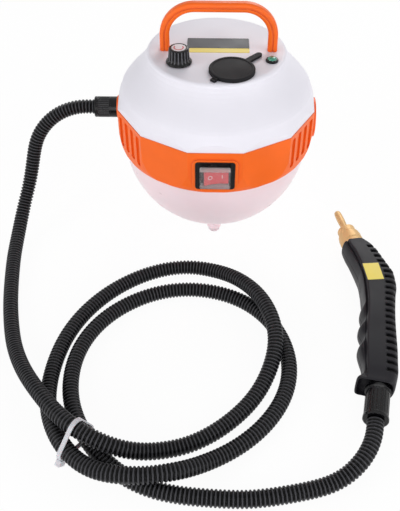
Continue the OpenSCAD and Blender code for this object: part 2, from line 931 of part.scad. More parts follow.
module lid_anchor() {
    color("DarkSlateGray")
        lid_frame() {
            difference() {
                translate([-anchor_x - anchor_len / 2, -lug_w / 2, deck_z])
                    cube([anchor_len, lug_w, anchor_h]);
                on_hinge(lug_w + 2)
                    cylinder(r = knuckle_r + knuckle_fit, h = lug_w + 2);
            }
            translate([-anchor_x, 0, under_z - 1])
                cylinder(r = stem_r, h = wall + 2);
            translate([-anchor_x, 0, under_z - 3])
                cylinder(r = stem_r + 0.9, h = 3);
        }
}

// Lamp
module lamp_bezel() {
    r = lamp_d / 2;
    color("Black")
        at_deck(lamp_pos)
            rotate_extrude()
                polygon([
                    [lens_stem_r + run_fit, -lamp_stem], [lamp_stem_r, -lamp_stem],
                    [lamp_stem_r, 0], [r, 0], [r, lamp_flange - 1], [r - 0.8, lamp_flange],
                    [lens_r + run_fit, lamp_flange], [lens_r + run_fit, lamp_flange - 1.2],
                    [lens_stem_r + run_fit, lamp_flange - 1.2]
                ]);
}

module lamp_lens() {
    dome_pts = arc([0, 0], lens_r, 0, 90, 8);
    color("MediumSeaGreen")
        at_deck(lamp_pos)
            rotate_extrude()
                polygon(concat(
                    [[0, 2 - lamp_stem], [lens_stem_r, 2 - lamp_stem],
                        [lens_stem_r, lamp_flange - 1.2], [lens_r, lamp_flange - 1.2]],
                    [for (p = dome_pts) [p[0], lamp_flange + p[1] * 0.45]]));
}

module lamp_nut() {
    color("Silver")
        at_deck(lamp_pos, under_z - lamp_nut_t)
            difference() {
                cylinder(r = lamp_d / 2 + 1, h = lamp_nut_t, $fn = 6);
                translate([0, 0, -1])
                    cylinder(r = lamp_stem_r + thread_fit, h = lamp_nut_t + 2);
            }
}

// Rocker switch
module switch_bezel() {
    color("Black")
        on_front(switch_z)
            difference() {
                union() {
                    linear_extrude(frame_t)
                        round_rect(switch_w, switch_h, switch_round);
                    translate([0, 0, -sleeve_d])
                        linear_extrude(sleeve_d + 1)
                            round_rect(well_w + 2 * sleeve_wall, well_h + 2 * sleeve_wall, 2);
                }
                translate([0, 0, -sleeve_d - 1])
                    linear_extrude(sleeve_d + frame_t + 2)
                        round_rect(well_w, well_h, 1.5);
                translate([0, 0, seat_z])
                    linear_extrude(frame_t)
                        round_rect(cover_w + 2 * cover_fit, cover_h + 2 * cover_fit, 2);
            }
}

module switch_cover() {
    color("AliceBlue", 0.4)
        on_front(switch_z)
            difference() {
                translate([0, 0, seat_z])
                    linear_extrude(cover_out - seat_z)
                        round_rect(cover_w, cover_h, 1.8);
                translate([0, 0, seat_z - 1])
                    linear_extrude(cover_out - seat_z + 1 - cover_t)
                        round_rect(cover_w - 2 * cover_t, cover_h - 2 * cover_t, 0.8);
            }
}

module switch_body() {
    w = well_w - 2 * body_fit;
    h = well_h - 2 * body_fit;
    cheek_y = rocker_h / 2 + pocket_gap;
    color("DimGray")
        on_front(switch_z)
            difference() {
                union() {
                    translate([0, 0, -body_d])
                        linear_extrude(body_d + body_top)
                            round_rect(w, h, 1.4);
                    translate([0, 0, -sleeve_d - 2])
                        linear_extrude(2)
                            round_rect(well_w + 2 * sleeve_wall, well_h + 2 * sleeve_wall, 2);
                    for (s = [-1, 1])
                        translate([-5, s > 0 ? cheek_y : -h / 2, body_top - 1])
                            cube([10, h / 2 - cheek_y, pivot_z + 3 - body_top]);
                }
                translate([-rocker_w / 2 - pocket_gap, -cheek_y, body_top - 6.5])
                    cube([rocker_w + 2 * pocket_gap, 2 * cheek_y, 12]);
                translate([0, 0, pivot_z])
                    rotate([90, 0, 0])
                        translate([0, 0, -h])
                            cylinder(r = pin_r + run_fit, h = 2 * h);
            }
}

module switch_terminals() {
    color("Silver")
        on_front(switch_z)
            for (x = [-8, 8], y = [-5, 5])
                translate([x - 0.4, y - 3, -body_d - 8])
                    cube([0.8, 6, 8]);
}

module rocker() {
    w = rocker_w / 2;
    color("Crimson")
        on_front(switch_z)
            translate([0, 0, pivot_z])
                rotate([0, rocker_swing / 2, 0]) {
                    rotate([90, 0, 0])
                        translate([0, 0, -rocker_h / 2])
                            linear_extrude(rocker_h)
                                polygon([
                                    [-w, 8], [-w / 2, 6.7], [0, 6.2], [w / 2, 6.7], [w, 8],
                                    [w, 3.4], [w - 4, -2.4], [4 - w, -2.4], [-w, 3.4]
                                ]);
                    rotate([90, 0, 0])
                        translate([0, 0, -rocker_h / 2 - rocker_pin])
                            cylinder(r = pin_r, h = rocker_h + 2 * rocker_pin);
                }
}

// Hose gland
module gland_body() {
    tail = -gland_tail;
    color("Black")
        on_left()
            difference() {
                union() {
                    translate([0, 0, tail])
                        cylinder(r = gland_r, h = boss_face - tail + 1);
                    translate([0, 0, boss_face])
                        cylinder(r = gland_nut_r, h = gland_collar);
                    translate([0, 0, boss_face])
                        cylinder(r = gland_r, h = gland_len - 4);
                    translate([0, 0, tail - stub_len])
                        cylinder(r = stub_r, h = stub_len + 1);
                }
                translate([0, 0, tail - stub_len - 1])
                    cylinder(r = gland_bore, h = gland_len + boss_face - tail + stub_len);
            }
}

module gland_nut() {
    low = boss_face + gland_collar;
    color("Black")
        on_left()
            difference() {
                rotate_extrude()
                    polygon([
                        [hose_bore, low], [gland_nut_r, low], [gland_nut_r, gland_end - 7],
                        [gland_nut_r - 1.4, gland_end - 1.5], [gland_nut_r - 2.6, gland_end],
                        [hose_bore, gland_end]
                    ]);
                translate([0, 0, low - 1])
                    cylinder(r = gland_r + thread_fit, h = gland_len - gland_collar - 2);
                for (i = [0:15])
                    rotate(i * 22.5)
                        translate([gland_nut_r + 0.5, 0, low + 1.5])
                            cylinder(r = 1.2, h = gland_len);
            }
}

module gland_locknut() {
    color("Black")
        on_left()
            translate([0, 0, inner_face - apothem])
                mirror([0, 0, 1])
                    difference() {
                        cylinder(r = gland_nut_r, h = locknut_t, $fn = 6);
                        translate([0, 0, -1])
                            cylinder(r = gland_r + thread_fit, h = locknut_t + 2);
                    }
}

// Bush for the mains lead
module mains_bush() {
    lip = band_wall + 0.35;
    color("Black")
        on_rear(bush_z)
            rotate_extrude()
                polygon([
                    [mains_r, -lip - 3], [mains_sleeve + 0.6, -lip - 3], [mains_sleeve + 1.1, -lip],
                    [mains_sleeve, -lip], [mains_sleeve, 0], [mains_flange, 0],
                    [mains_flange, 1.6], [mains_sleeve, 5], [mains_r + 1, 6], [mains_r, 6]
                ]);
}

// Tank and chassis
module water_tank() {
    tank_ball = bowl_r - wall - tank_gap;
    color("PaleTurquoise")
        difference() {
            union() {
                difference() {
                    intersection() {
                        bowl_ball(tank_ball);
                        translate([0, 0, floor_z])
                            cylinder(r = tank_r, h = tank_top - floor_z);
                    }
                    intersection() {
                        bowl_ball(tank_ball - tank_wall);
                        translate([0, 0, floor_z + tank_wall])
                            cylinder(r = tank_r - tank_wall, h = tank_top - floor_z - 2 * tank_wall);
                    }
                }
                at_deck(lid_pos, tank_top - 1)
                    cylinder(r = neck_r + hole_fit + collar_t, h = collar_h + 1);
                translate([pump_pos[0], port_y, tank_top - 1])
                    cylinder(r = stub_r, h = stub_len + 1);
            }
            at_deck(lid_pos, tank_top)
                cylinder(r = neck_r + hole_fit, h = collar_h + 1);
            at_deck(lid_pos, tank_top - tank_wall - 2)
                cylinder(r = neck_bore, h = collar_h);
            translate([pump_pos[0], port_y, tank_top - tank_wall - 1])
                cylinder(r = stub_r - 1, h = stub_len + tank_wall + 2);
        }
}

module chassis_plate() {
    color("LightSteelBlue")
        difference() {
            translate([0, 0, post_top])
                cylinder(r = plate_r, h = plate_t);
            four(45, post_pos)
                translate([0, 0, post_top - 1])
                    cylinder(r = screw_r + hole_fit, h = plate_t + 2);
            at_deck(lid_pos, post_top - 1)
                cylinder(r = neck_r + 4 * hole_fit, h = plate_t + 2);
            translate([pump_pos[0], port_y, post_top - 1])
                cylinder(r = tube_out + 4 * hole_fit, h = plate_t + 2);
        }
}

// Steam generator
module heater_block() {
    color("DarkGray")
        difference() {
            union() {
                translate([heater_pos[0], heater_pos[1], heater_z])
                    cube(heater_size);
                for (x = [leg_in_heater, heater_size[0] - leg_in_heater],
                    y = [leg_in_heater, heater_size[1] - leg_in_heater])
                    translate([heater_pos[0] + x, heater_pos[1] + y, plate_top])
                        cylinder(r = 3, h = heater_leg + 1);
                translate([heater_pos[0] - stub_len, inlet_y, pump_pos[2]])
                    rotate([0, 90, 0])
                        cylinder(r = stub_r, h = stub_len + 1);
                translate([heater_pos[0] - stub_len, outlet_y, gland_pos[1]])
                    rotate([0, 90, 0])
                        cylinder(r = stub_r, h = stub_len + 1);
            }
            translate([heater_pos[0] - 1, element_y, element_z])
                rotate([0, 90, 0])
                    cylinder(r = element_r + run_fit, h = heater_size[0] + 2);
            for (y = [inlet_y, outlet_y])
                translate([heater_pos[0] - stub_len - 1, y, y == inlet_y ? pump_pos[2] : gland_pos[1]])
                    rotate([0, 90, 0])
                        cylinder(r = stub_r - 1, h = duct_d);
            for (x = [fin_first:fin_pitch:heater_size[0] - fin_first + eps])
                translate([heater_pos[0] + x - fin_gap / 2, heater_pos[1] - 1, heater_z + 10])
                    cube([fin_gap, 5, heater_size[2] - 16]);
        }
}

module heating_element() {
    color("Silver")
        translate([heater_pos[0] - element_over, element_y, element_z])
            rotate([0, 90, 0]) {
                cylinder(r = element_r, h = heater_size[0] + 2 * element_over);
                translate([0, 0, -4])
                    cylinder(r = 1.2, h = heater_size[0] + 2 * element_over + 8);
            }
}

module thermal_cutout() {
    color("Tan")
        translate([heater_pos[0] + heater_size[0] / 2, heater_pos[1] + heater_size[1] / 2,
            heater_z + heater_size[2]]) {
            translate([-cutout_base[0] / 2, -cutout_base[1] / 2, 0])
                cube(cutout_base);
            cylinder(r = 8, h = 6);
            for (s = [-1, 1])
                translate([s * 4 - 0.4, -3, 5])
                    cube([0.8, 6, 9]);
        }
}

// Pump
module pump() {
    color("SteelBlue")
        difference() {
            union() {
                translate([pump_pos[0], -pump_len / 2, pump_pos[2]])
                    rotate([-90, 0, 0]) {
                        cylinder(r = pump_r, h = pump_len - 8);
                        cylinder(r = pump_r - 3, h = pump_len);
                        cylinder(r = stub_r, h = pump_len + stub_len);
                    }
                translate([pump_pos[0], port_y, port_z])
                    cylinder(r = stub_r + 2.4, h = 8);
                translate([pump_pos[0], port_y, port_z - stub_len])
                    cylinder(r = stub_r, h = stub_len + 1);
            }
            translate([pump_pos[0], pump_len / 2 - 4, pump_pos[2]])
                rotate([-90, 0, 0])
                    cylinder(r = stub_r - 1, h = stub_len + 5);
            translate([pump_pos[0], port_y, port_z - stub_len - 1])
                cylinder(r = stub_r - 1, h = stub_len + 6);
        }
}

module pump_bracket() {
    color("Silver")
        difference() {
            translate([pump_pos[0] - bracket_w / 2, -bracket_d / 2, plate_top])
                cube([bracket_w, bracket_d, 9]);
            translate([pump_pos[0], -bracket_d, pump_pos[2]])
                rotate([-90, 0, 0])
                    cylinder(r = pump_r, h = 2 * bracket_d);
        }
}

// Power control
module control_board() {
    color("ForestGreen")
        translate([board_pos[0], board_pos[1], board_z]) {
            cube(board_size);
            translate([relay_at[0], relay_at[1], solder])
                cube(relay_size);
            translate([cap_at[0], cap_at[1], solder])
                cylinder(r = cap_r, h = cap_h);
            translate([sink_at[0], sink_at[1], solder])
                cube(sink_size);
            for (i = [0:fins - 1])
                translate([sink_at[0] + i * sink_size[0] / fins, sink_at[1] + sink_size[1] / 2, solder])
                    cube([fin_t, fin_len, sink_size[2]]);
            translate([strip_at[0], strip_at[1], solder])
                cube(strip_size);
        }
}

module board_standoffs() {
    color("Gold")
        for (x = [hole_in, board_size[0] - hole_in], y = [hole_in, board_size[1] - hole_in])
            translate([board_pos[0] + x, board_pos[1] + y, plate_top])
                cylinder(r = 2.5, h = board_leg);
}

// Tubes
module ring(h) {
    difference() {
        cylinder(r = tube_out, h = h);
        translate([0, 0, -1])
            cylinder(r = tube_in, h = h + 2);
    }
}

module elbow() {
    rotate_extrude(angle = 90)
        translate([bend_r, 0])
            difference() {
                circle(tube_out);
                circle(tube_in);
            }
}

module suction_tube() {
    color("Gainsboro")
        translate([pump_pos[0], port_y, tank_top])
            ring(port_z - tank_top);
}

module feed_tube() {
    color("Gainsboro") {
        translate([pump_pos[0], feed_y - stub_len, pump_pos[2]])
            rotate([-90, 0, 0])
                ring(stub_len);
        translate([pump_pos[0] + bend_r, feed_y, pump_pos[2]])
            rotate(90)
                elbow();
        translate([pump_pos[0] + bend_r, inlet_y, pump_pos[2]])
            rotate([0, 90, 0])
                ring(heater_pos[0] - pump_pos[0] - bend_r);
    }
}

module steam_tube() {
    x0 = -apothem + gland_tail;
    x1 = tube_x;
    y0 = gland_pos[0];
    color("IndianRed")
        translate([0, 0, gland_pos[1]]) {
            translate([x1 - bend_r, y0, 0])
                rotate([0, -90, 0])
                    ring(x1 - bend_r - x0);
            translate([x1 - bend_r, y0 + bend_r, 0])
                rotate(-90)
                    elbow();
            translate([x1, y0 + bend_r, 0])
                rotate([-90, 0, 0])
                    ring(bend_r);
            translate([x1 + bend_r, y0 + 2 * bend_r, 0])
                rotate(90)
                    elbow();
            translate([x1 + bend_r, outlet_y, 0])
                rotate([0, 90, 0])
                    ring(heater_pos[0] - x1 - bend_r);
        }
}

// Steam hose: a spline through its route, walked at even steps
function spot(u, v) = [gun_at[0] + v, gun_at[1] + u, gun_z];
function station(m) = let(f = soft(m, gun_front, 1), b = soft(m, gun_back, 1),
    d = (b - f) / 2 * tan(lookup(m, gun_tilt))) [spot(m - d, f), spot(m + d, b)];
function on_station(m, v) = let(s = station(m), k = (gun_at[0] + v - s[0][0]) / (s[1][0] - s[0][0]))
    s[0] + k * (s[1] - s[0]);
butt = on_station(butt_m, butt_axis);
muzzle = on_station(gun_len, lookup(gun_len, gun_axis));
butt_dir = [sin(butt_tilt), -cos(butt_tilt), 0];
hose_end = butt + con_len * butt_dir;
hose_pts = concat(
    [for (i = [0:2]) hose_start - [i * lead, 0, 0]],
    [for (d = hose_drop) [hose_start[0] + d[0] * (drop_x - hose_start[0]), d[1],
        hose_r + d[2] * (hose_start[2] - hose_r)]],
    hose_route,
    [for (i = [2:-1:0]) hose_end + i * lead * butt_dir]);
knots = len(hose_pts) - 1;
padded = concat([2 * hose_pts[0] - hose_pts[1]], hose_pts, [2 * hose_pts[knots] - hose_pts[knots - 1]]);
function hose_spot(t) = let(i = min(floor(t), knots - 1), f = t - i)
    (padded[i] * pow(1 - f, 3) + padded[i + 1] * (3 * pow(f, 3) - 6 * f * f + 4)
    + padded[i + 2] * (-3 * pow(f, 3) + 3 * f * f + 3 * f + 1) + padded[i + 3] * pow(f, 3)) / 6;
function hose_run(t) = unit(hose_spot(min(t + 0.01, knots)) - hose_spot(max(t - 0.01, 0)));
walk_n = 8;
hose_walk = [for (i = 0, s = 0; i <= knots * walk_n;
    s = s + norm(hose_spot(min(i + 1, knots * walk_n) / walk_n) - hose_spot(i / walk_n)), i = i + 1)
    [s, i / walk_n]];
hose_len = hose_walk[knots * walk_n][0];
function walk_t(s) = lookup(s, hose_walk);
ring_n = 8;

function hose_ring(s, r) = let(t = walk_t(s), p = hose_spot(t), d = hose_run(t),
    x = unit(cross(d, [0, 0, 1])), z = cross(x, d))
    [for (k = [0:ring_n - 1]) let(a = (k + 0.5) * 360 / ring_n) p + r * (cos(a) * x + sin(a) * z)];
function wrap(a, b, n) = [for (k = [0:n - 1]) let(j = (k + 1) % n)
    each [[a + k, b + k, b + j], [a + k, b + j, a + j]]];
function flip(f) = [for (t = f) [t[2], t[1], t[0]]];

module steam_hose() {
    outer_r = hose_r / cos(180 / ring_n);
    groove_r = (hose_r - rib_h) / cos(180 / ring_n);
    skin = [for (i = [0:2 * ribs])
        hose_ring(hose_len * i / (2 * ribs), i % 2 == 1 ? hose_r : groove_r - 0.6)];
    bore = [for (i = [0:ribs]) hose_ring(hose_len * i / ribs, hose_bore)];
    pts = [for (r = concat(skin, bore)) each r];
    low = len(skin) * ring_n;
    faces = concat(
        [for (i = [0:len(skin) - 2]) each wrap(i * ring_n, (i + 1) * ring_n, ring_n)],
        [for (i = [0:ribs - 1]) each flip(wrap(low + i * ring_n, low + (i + 1) * ring_n, ring_n))],
        flip(wrap(0, low, ring_n)),
        wrap(low - ring_n, low + ribs * ring_n, ring_n));
    steps = floor(hose_len / 6);
    line = [for (i = [0:steps]) hose_spot(walk_t(hose_len * i / steps))];
    away = ceil(40 * steps / hose_len);
    gap = min([for (i = [0:steps - away], j = [i + away:steps]) norm(line[i] - line[j])]) - hose_d;
    echo(hose_length = hose_len, least_gap = gap);
    color("Black")
        polyhedron(pts, faces);
}

// Tie round three runs of the hose
module cable_tie() {
    o = hose_spot(tie_at[0]);
    n = hose_run(tie_at[0]);
    x = unit(cross(n, [0, 0, 1]));
    z = cross(x, n);
    runs = [for (t = tie_at) let(v = hose_spot(t) - o) [v * x, v * z]];
    frame = [
        [x[0], z[0], -n[0], o[0]], [x[1], z[1], -n[1], o[1]],
        [x[2], z[2], -n[2], o[2]], [0, 0, 0, 1]
    ];
    side = unit(runs[1] - runs[0]);
    color("White")
        multmatrix(frame) {
            translate([0, 0, -tie_w / 2])
                linear_extrude(tie_w)
                    difference() {
                        hull()
                            for (i = [0:2])
                                translate(runs[i])
                                    circle(hose_r + tie_slack[i] + tie_t, $fn = 32);
                        hull()
                            for (i = [0:2])
                                translate(runs[i])
                                    circle(hose_r + tie_slack[i], $fn = 32);
                    }
            translate(runs[1] + (hose_r + tie_slack[1] + tie_t / 2) * side)
                rotate(atan2(side[1], side[0]))
                    translate([0, -tie_head[0] / 2, -tie_head[2] / 2])
                        cube([tie_head[1], tie_head[0], tie_head[2]]);
        }
}

// Gun: two halves lofted over its stations, meeting on the parting plane
slot_marks = [for (i = [0:slots - 1]) let(c = slot_first + i * slot_pitch)
    each [[c - slot_edge / 2, 0], [c - slot_w / 2, 1], [c + slot_w / 2, 1], [c + slot_edge / 2, 0]]];
gun_marks = concat([for (m = [0, 1, 3, 4.5, 6.5, 9, 12.5]) [butt_m + m, 0]], slot_marks,
    [[209, 0], [211.5, 0], [gun_len, 0]]);
half_n = len(gun_section) - 1;
chan_n = 6;
function ramp(x) = min(1, max(0, x));
function slant(m, k) = slot_slant * ramp((m - butt_m) / slant_run) * ramp((gun_len - m) / slant_run)
    * ramp((k - 0.58) / 0.42);
function on_section(m, r, up, cut) = let(s = station(m), h = s[1] - s[0], fade = ramp((m - butt_m) / 14),
    kc = (gun_at[0] + soft(m, gun_crease, 1) - s[0][0]) / h[0],
    k = r[0] < 0 ? kc * (1 + r[0]) : kc + r[0] * (1 - kc),
    z = soft(m, gun_half, 1) * (r[2] + fade * (r[1] - r[2])))
    s[0] + k * h + [0, 0, up * z] - cut * slot_d * r[4] * (r[3][0] * unit(h) + [0, 0, up * r[3][1]]);
function half_loop(mark, up) = let(m = mark[0], s = station(m), h = s[1] - s[0],
    g = on_station(m, soft(m, gun_axis, 4)))
    concat(
        [for (r = gun_section) on_section(m - slant(m, r[0]), r, up, mark[1])],
        [for (i = [chan_n:-1:0]) let(a = 180 * i / chan_n)
            g + (pipe_r + pipe_fit) * (cos(a) * unit(h) + [0, 0, up * sin(a)])]);
function end_cap(base) = concat(
    [for (i = [0:half_n - 1]) let(j = half_n + 1 + chan_n - round(i * chan_n / half_n))
        [base + i, base + i + 1, base + j]],
    [for (i = [0:half_n - 1]) let(j = half_n + 1 + chan_n - round(i * chan_n / half_n),
        k = half_n + 1 + chan_n - round((i + 1) * chan_n / half_n))
        if (j != k) [base + i + 1, base + k, base + j]]);

module gun_half_solid(up) {
    n = half_n + chan_n + 2;
    last = len(gun_marks) - 1;
    pts = [for (m = gun_marks) each half_loop(m, up)];
    skin = [for (i = [0:last - 1]) each wrap(i * n, (i + 1) * n, n)];
    faces = concat(skin, end_cap(0), flip(end_cap(last * n)));
    polyhedron(pts, up > 0 ? flip(faces) : faces);
}

module grip_left() {
    color("DarkSlateGray")
        gun_half_solid(1);
}

module grip_right() {
    color("DarkSlateGray")
        gun_half_solid(-1);
}

module gun_pipe() {
    n = 24;
    rings = [for (i = [0:n]) let(m = butt_m + (gun_len - butt_m) * i / n, s = station(m),
        h = unit(s[1] - s[0]), g = on_station(m, soft(m, gun_axis, 4))) [g, h]];
    outer = [for (r = rings) each
        [for (k = [0:7]) r[0] + pipe_r * (cos(45 * k) * r[1] + [0, 0, sin(45 * k)])]];
    inner = [for (r = rings) each
        [for (k = [0:7]) r[0] + pipe_bore * (cos(45 * k) * r[1] + [0, 0, sin(45 * k)])]];
    low = len(outer);
    faces = concat(
        [for (i = [0:n - 1]) each wrap(i * 8, i * 8 + 8, 8)],
        [for (i = [0:n - 1]) each flip(wrap(low + i * 8, low + i * 8 + 8, 8))],
        flip(wrap(0, low, 8)),
        wrap(n * 8, low + n * 8, 8));
    color("Silver")
        polyhedron(concat(outer, inner), flip(faces));
}

module gun_connector() {
    color("Black")
        translate(butt)
            rotate(butt_tilt)
                rotate([90, 0, 0])
                    difference() {
                        rotate_extrude()
                            polygon([
                                [hose_bore, 0], [con_r, 0], [con_r, 3.4], [con_r - 1.4, 4.4],
                                [con_r - 1.4, 6], [con_r - 0.8, 6], [con_r - 0.8, con_len - 4],
                                [con_r - 0.2, con_len - 3], [con_r - 0.2, con_len - 0.8],
                                [con_r - 1, con_len], [hose_bore, con_len]
                            ]);
                        for (i = [0:con_flutes - 1])
                            rotate(i * 360 / con_flutes)
                                translate([con_r - 0.2, 0, 7])
                                    rotate(180)
                                        cylinder(r = 1.1, h = con_len - 12);
                    }
}

// Nozzle
module on_muzzle() {
    translate(muzzle)
        rotate(muzzle_tilt)
            rotate([-90, 0, 0])
                children();
}

module nozzle_base() {
    color("Goldenrod")
        on_muzzle()
            rotate_extrude()
                polygon([
                    [pipe_bore, 0], [nozzle_r, 0], [nozzle_r, 7], [nozzle_r - 0.7, 7.6],
                    [nozzle_r - 0.7, 11], [nozzle_r - 2.9, 11.4], [nozzle_r - 2.9, 13],
                    [nozzle_r - 2.5, 13.6], [nozzle_r - 2.7, 21], [tip_r + 2.6, nozzle_body],
                    [socket_r + tip_fit, nozzle_body], [socket_r + tip_fit, nozzle_seat],
                    [pipe_bore, nozzle_seat]
                ]);
}

module nozzle_tip() {
    color("Goldenrod")
        on_muzzle()
            rotate_extrude()
                polygon(concat(
                    [[tip_bore, nozzle_seat], [socket_r, nozzle_seat], [socket_r, nozzle_body],
                        [tip_r, nozzle_body]],
                    arc([tip_r - 1.8, nozzle_len - 1.8], 1.8, 0, 90, 5),
                    [[tip_bore, nozzle_len]]));
}

upper_shell();
waist_band();
lower_shell();
shell_screws();
feet();
foot_screws();
carry_handle();
handle_screws();
knob();
knob_cap();
control_shaft();
control_body();
control_nut();
filler_neck();
filler_lid();
lid_anchor();
lamp_bezel();
lamp_lens();
lamp_nut();
switch_bezel();
switch_body();
switch_terminals();
rocker();
switch_cover();
gland_body();
gland_nut();
gland_locknut();
mains_bush();
water_tank();
chassis_plate();
heater_block();
heating_element();
thermal_cutout();
pump();
pump_bracket();
control_board();
board_standoffs();
suction_tube();
feed_tube();
steam_tube();
steam_hose();
cable_tie();
grip_left();
grip_right();
gun_pipe();
gun_connector();
nozzle_base();
nozzle_tip();
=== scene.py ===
"""Looks of the portable steam cleaner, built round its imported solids."""
import json
import math

import bpy
import numpy as np
from mathutils import Matrix, Vector

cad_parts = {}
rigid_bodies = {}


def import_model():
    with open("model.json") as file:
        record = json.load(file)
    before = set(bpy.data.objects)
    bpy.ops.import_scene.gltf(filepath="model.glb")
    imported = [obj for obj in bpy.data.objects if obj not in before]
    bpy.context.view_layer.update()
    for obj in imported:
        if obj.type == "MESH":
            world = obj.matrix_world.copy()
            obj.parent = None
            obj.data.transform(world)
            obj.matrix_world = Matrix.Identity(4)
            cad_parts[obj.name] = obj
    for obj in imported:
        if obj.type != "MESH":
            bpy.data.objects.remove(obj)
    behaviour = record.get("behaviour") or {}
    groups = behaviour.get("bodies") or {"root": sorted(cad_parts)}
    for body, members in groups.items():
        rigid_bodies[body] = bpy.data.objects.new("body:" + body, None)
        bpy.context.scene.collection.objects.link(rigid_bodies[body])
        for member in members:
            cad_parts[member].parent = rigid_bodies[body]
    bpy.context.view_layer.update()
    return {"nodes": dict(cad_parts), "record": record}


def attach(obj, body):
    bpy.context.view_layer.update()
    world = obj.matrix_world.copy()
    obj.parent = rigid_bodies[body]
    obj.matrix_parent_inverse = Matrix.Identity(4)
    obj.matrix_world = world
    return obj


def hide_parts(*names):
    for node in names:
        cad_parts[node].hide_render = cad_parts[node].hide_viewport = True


for old in list(bpy.data.objects):
    bpy.data.objects.remove(old)

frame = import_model()
MM = 0.001

# Camera of the photograph: height and focal length in pixels, place in millimetres, turns in radians
IMAGE_HEIGHT = 511
FOCAL_LENGTH = 770.46
SENSOR = 36
EYE = (-2.8, -734.1, 602.4)
YAW = -0.02
PITCH = math.radians(43.16)
CLIP_END = 50


def add_camera():
    ahead = Vector((math.sin(YAW) * math.cos(PITCH), math.cos(YAW) * math.cos(PITCH), -math.sin(PITCH)))
    right = Vector((math.cos(YAW), -math.sin(YAW), 0))
    up = right.cross(ahead)
    data = bpy.data.cameras.new("camera")
    data.sensor_width = SENSOR
    data.lens = FOCAL_LENGTH * SENSOR / IMAGE_HEIGHT
    data.clip_end = CLIP_END
    camera = bpy.data.objects.new("camera", data)
    turn = Matrix((right, up, -ahead)).transposed()
    camera.matrix_world = Matrix.Translation(Vector(EYE) * MM) @ turn.to_4x4()
    bpy.context.collection.objects.link(camera)
    bpy.context.scene.camera = camera


add_camera()

# Noise that varies the colour and the gloss of a finish, and its fine grain
NOISE_LOW, NOISE_HIGH = 0.3, 0.7
BROAD_SCALE, BROAD_DETAIL = 30, 5
FINE_DETAIL = 3
GLOSS_SPREAD = 0.07
LEAST_ROUGH = 0.03
GRAIN_DEPTH = 0.04
# Painted shade in grooves: how far round they are looked for, in millimetres, how open free and deep places
# are, most shade
GROOVE_SHADE_REACH = 3
GROOVE_SHADE_SAMPLES = 12
GROOVE_SHADE_FREE, GROOVE_SHADE_DEEP = 0.96, 0.45
GROOVE_SHADE_MOST = 0.6
# Edges lightened partly as wear and partly as painted highlight: how well the rounded normal agrees with the
# flat one, and how much lighter the colour gets
EDGE_SAMPLES = 4
EDGE_FLAT, EDGE_BENT = 0.99, 0.8
WORN_AND_LIT_GAIN, WORN_AND_LIT_LIFT = 1.25, 12


def linear(*rgb):
    """Linear colour of a displayed one, 0 to 255."""
    part = [v / 255 for v in rgb]
    return [v / 12.92 if v <= 0.04045 else ((v + 0.055) / 1.055) ** 2.4 for v in part]


def remap(tree, value, low, high, to_low, to_high):
    """A value between low and high, brought between to_low and to_high."""
    node = tree.nodes.new("ShaderNodeMapRange")
    limits = {"From Min": low, "From Max": high, "To Min": to_low, "To Max": to_high}
    for socket, limit in limits.items():
        node.inputs[socket].default_value = limit
    tree.links.new(value, node.inputs["Value"])
    return node.outputs["Result"]


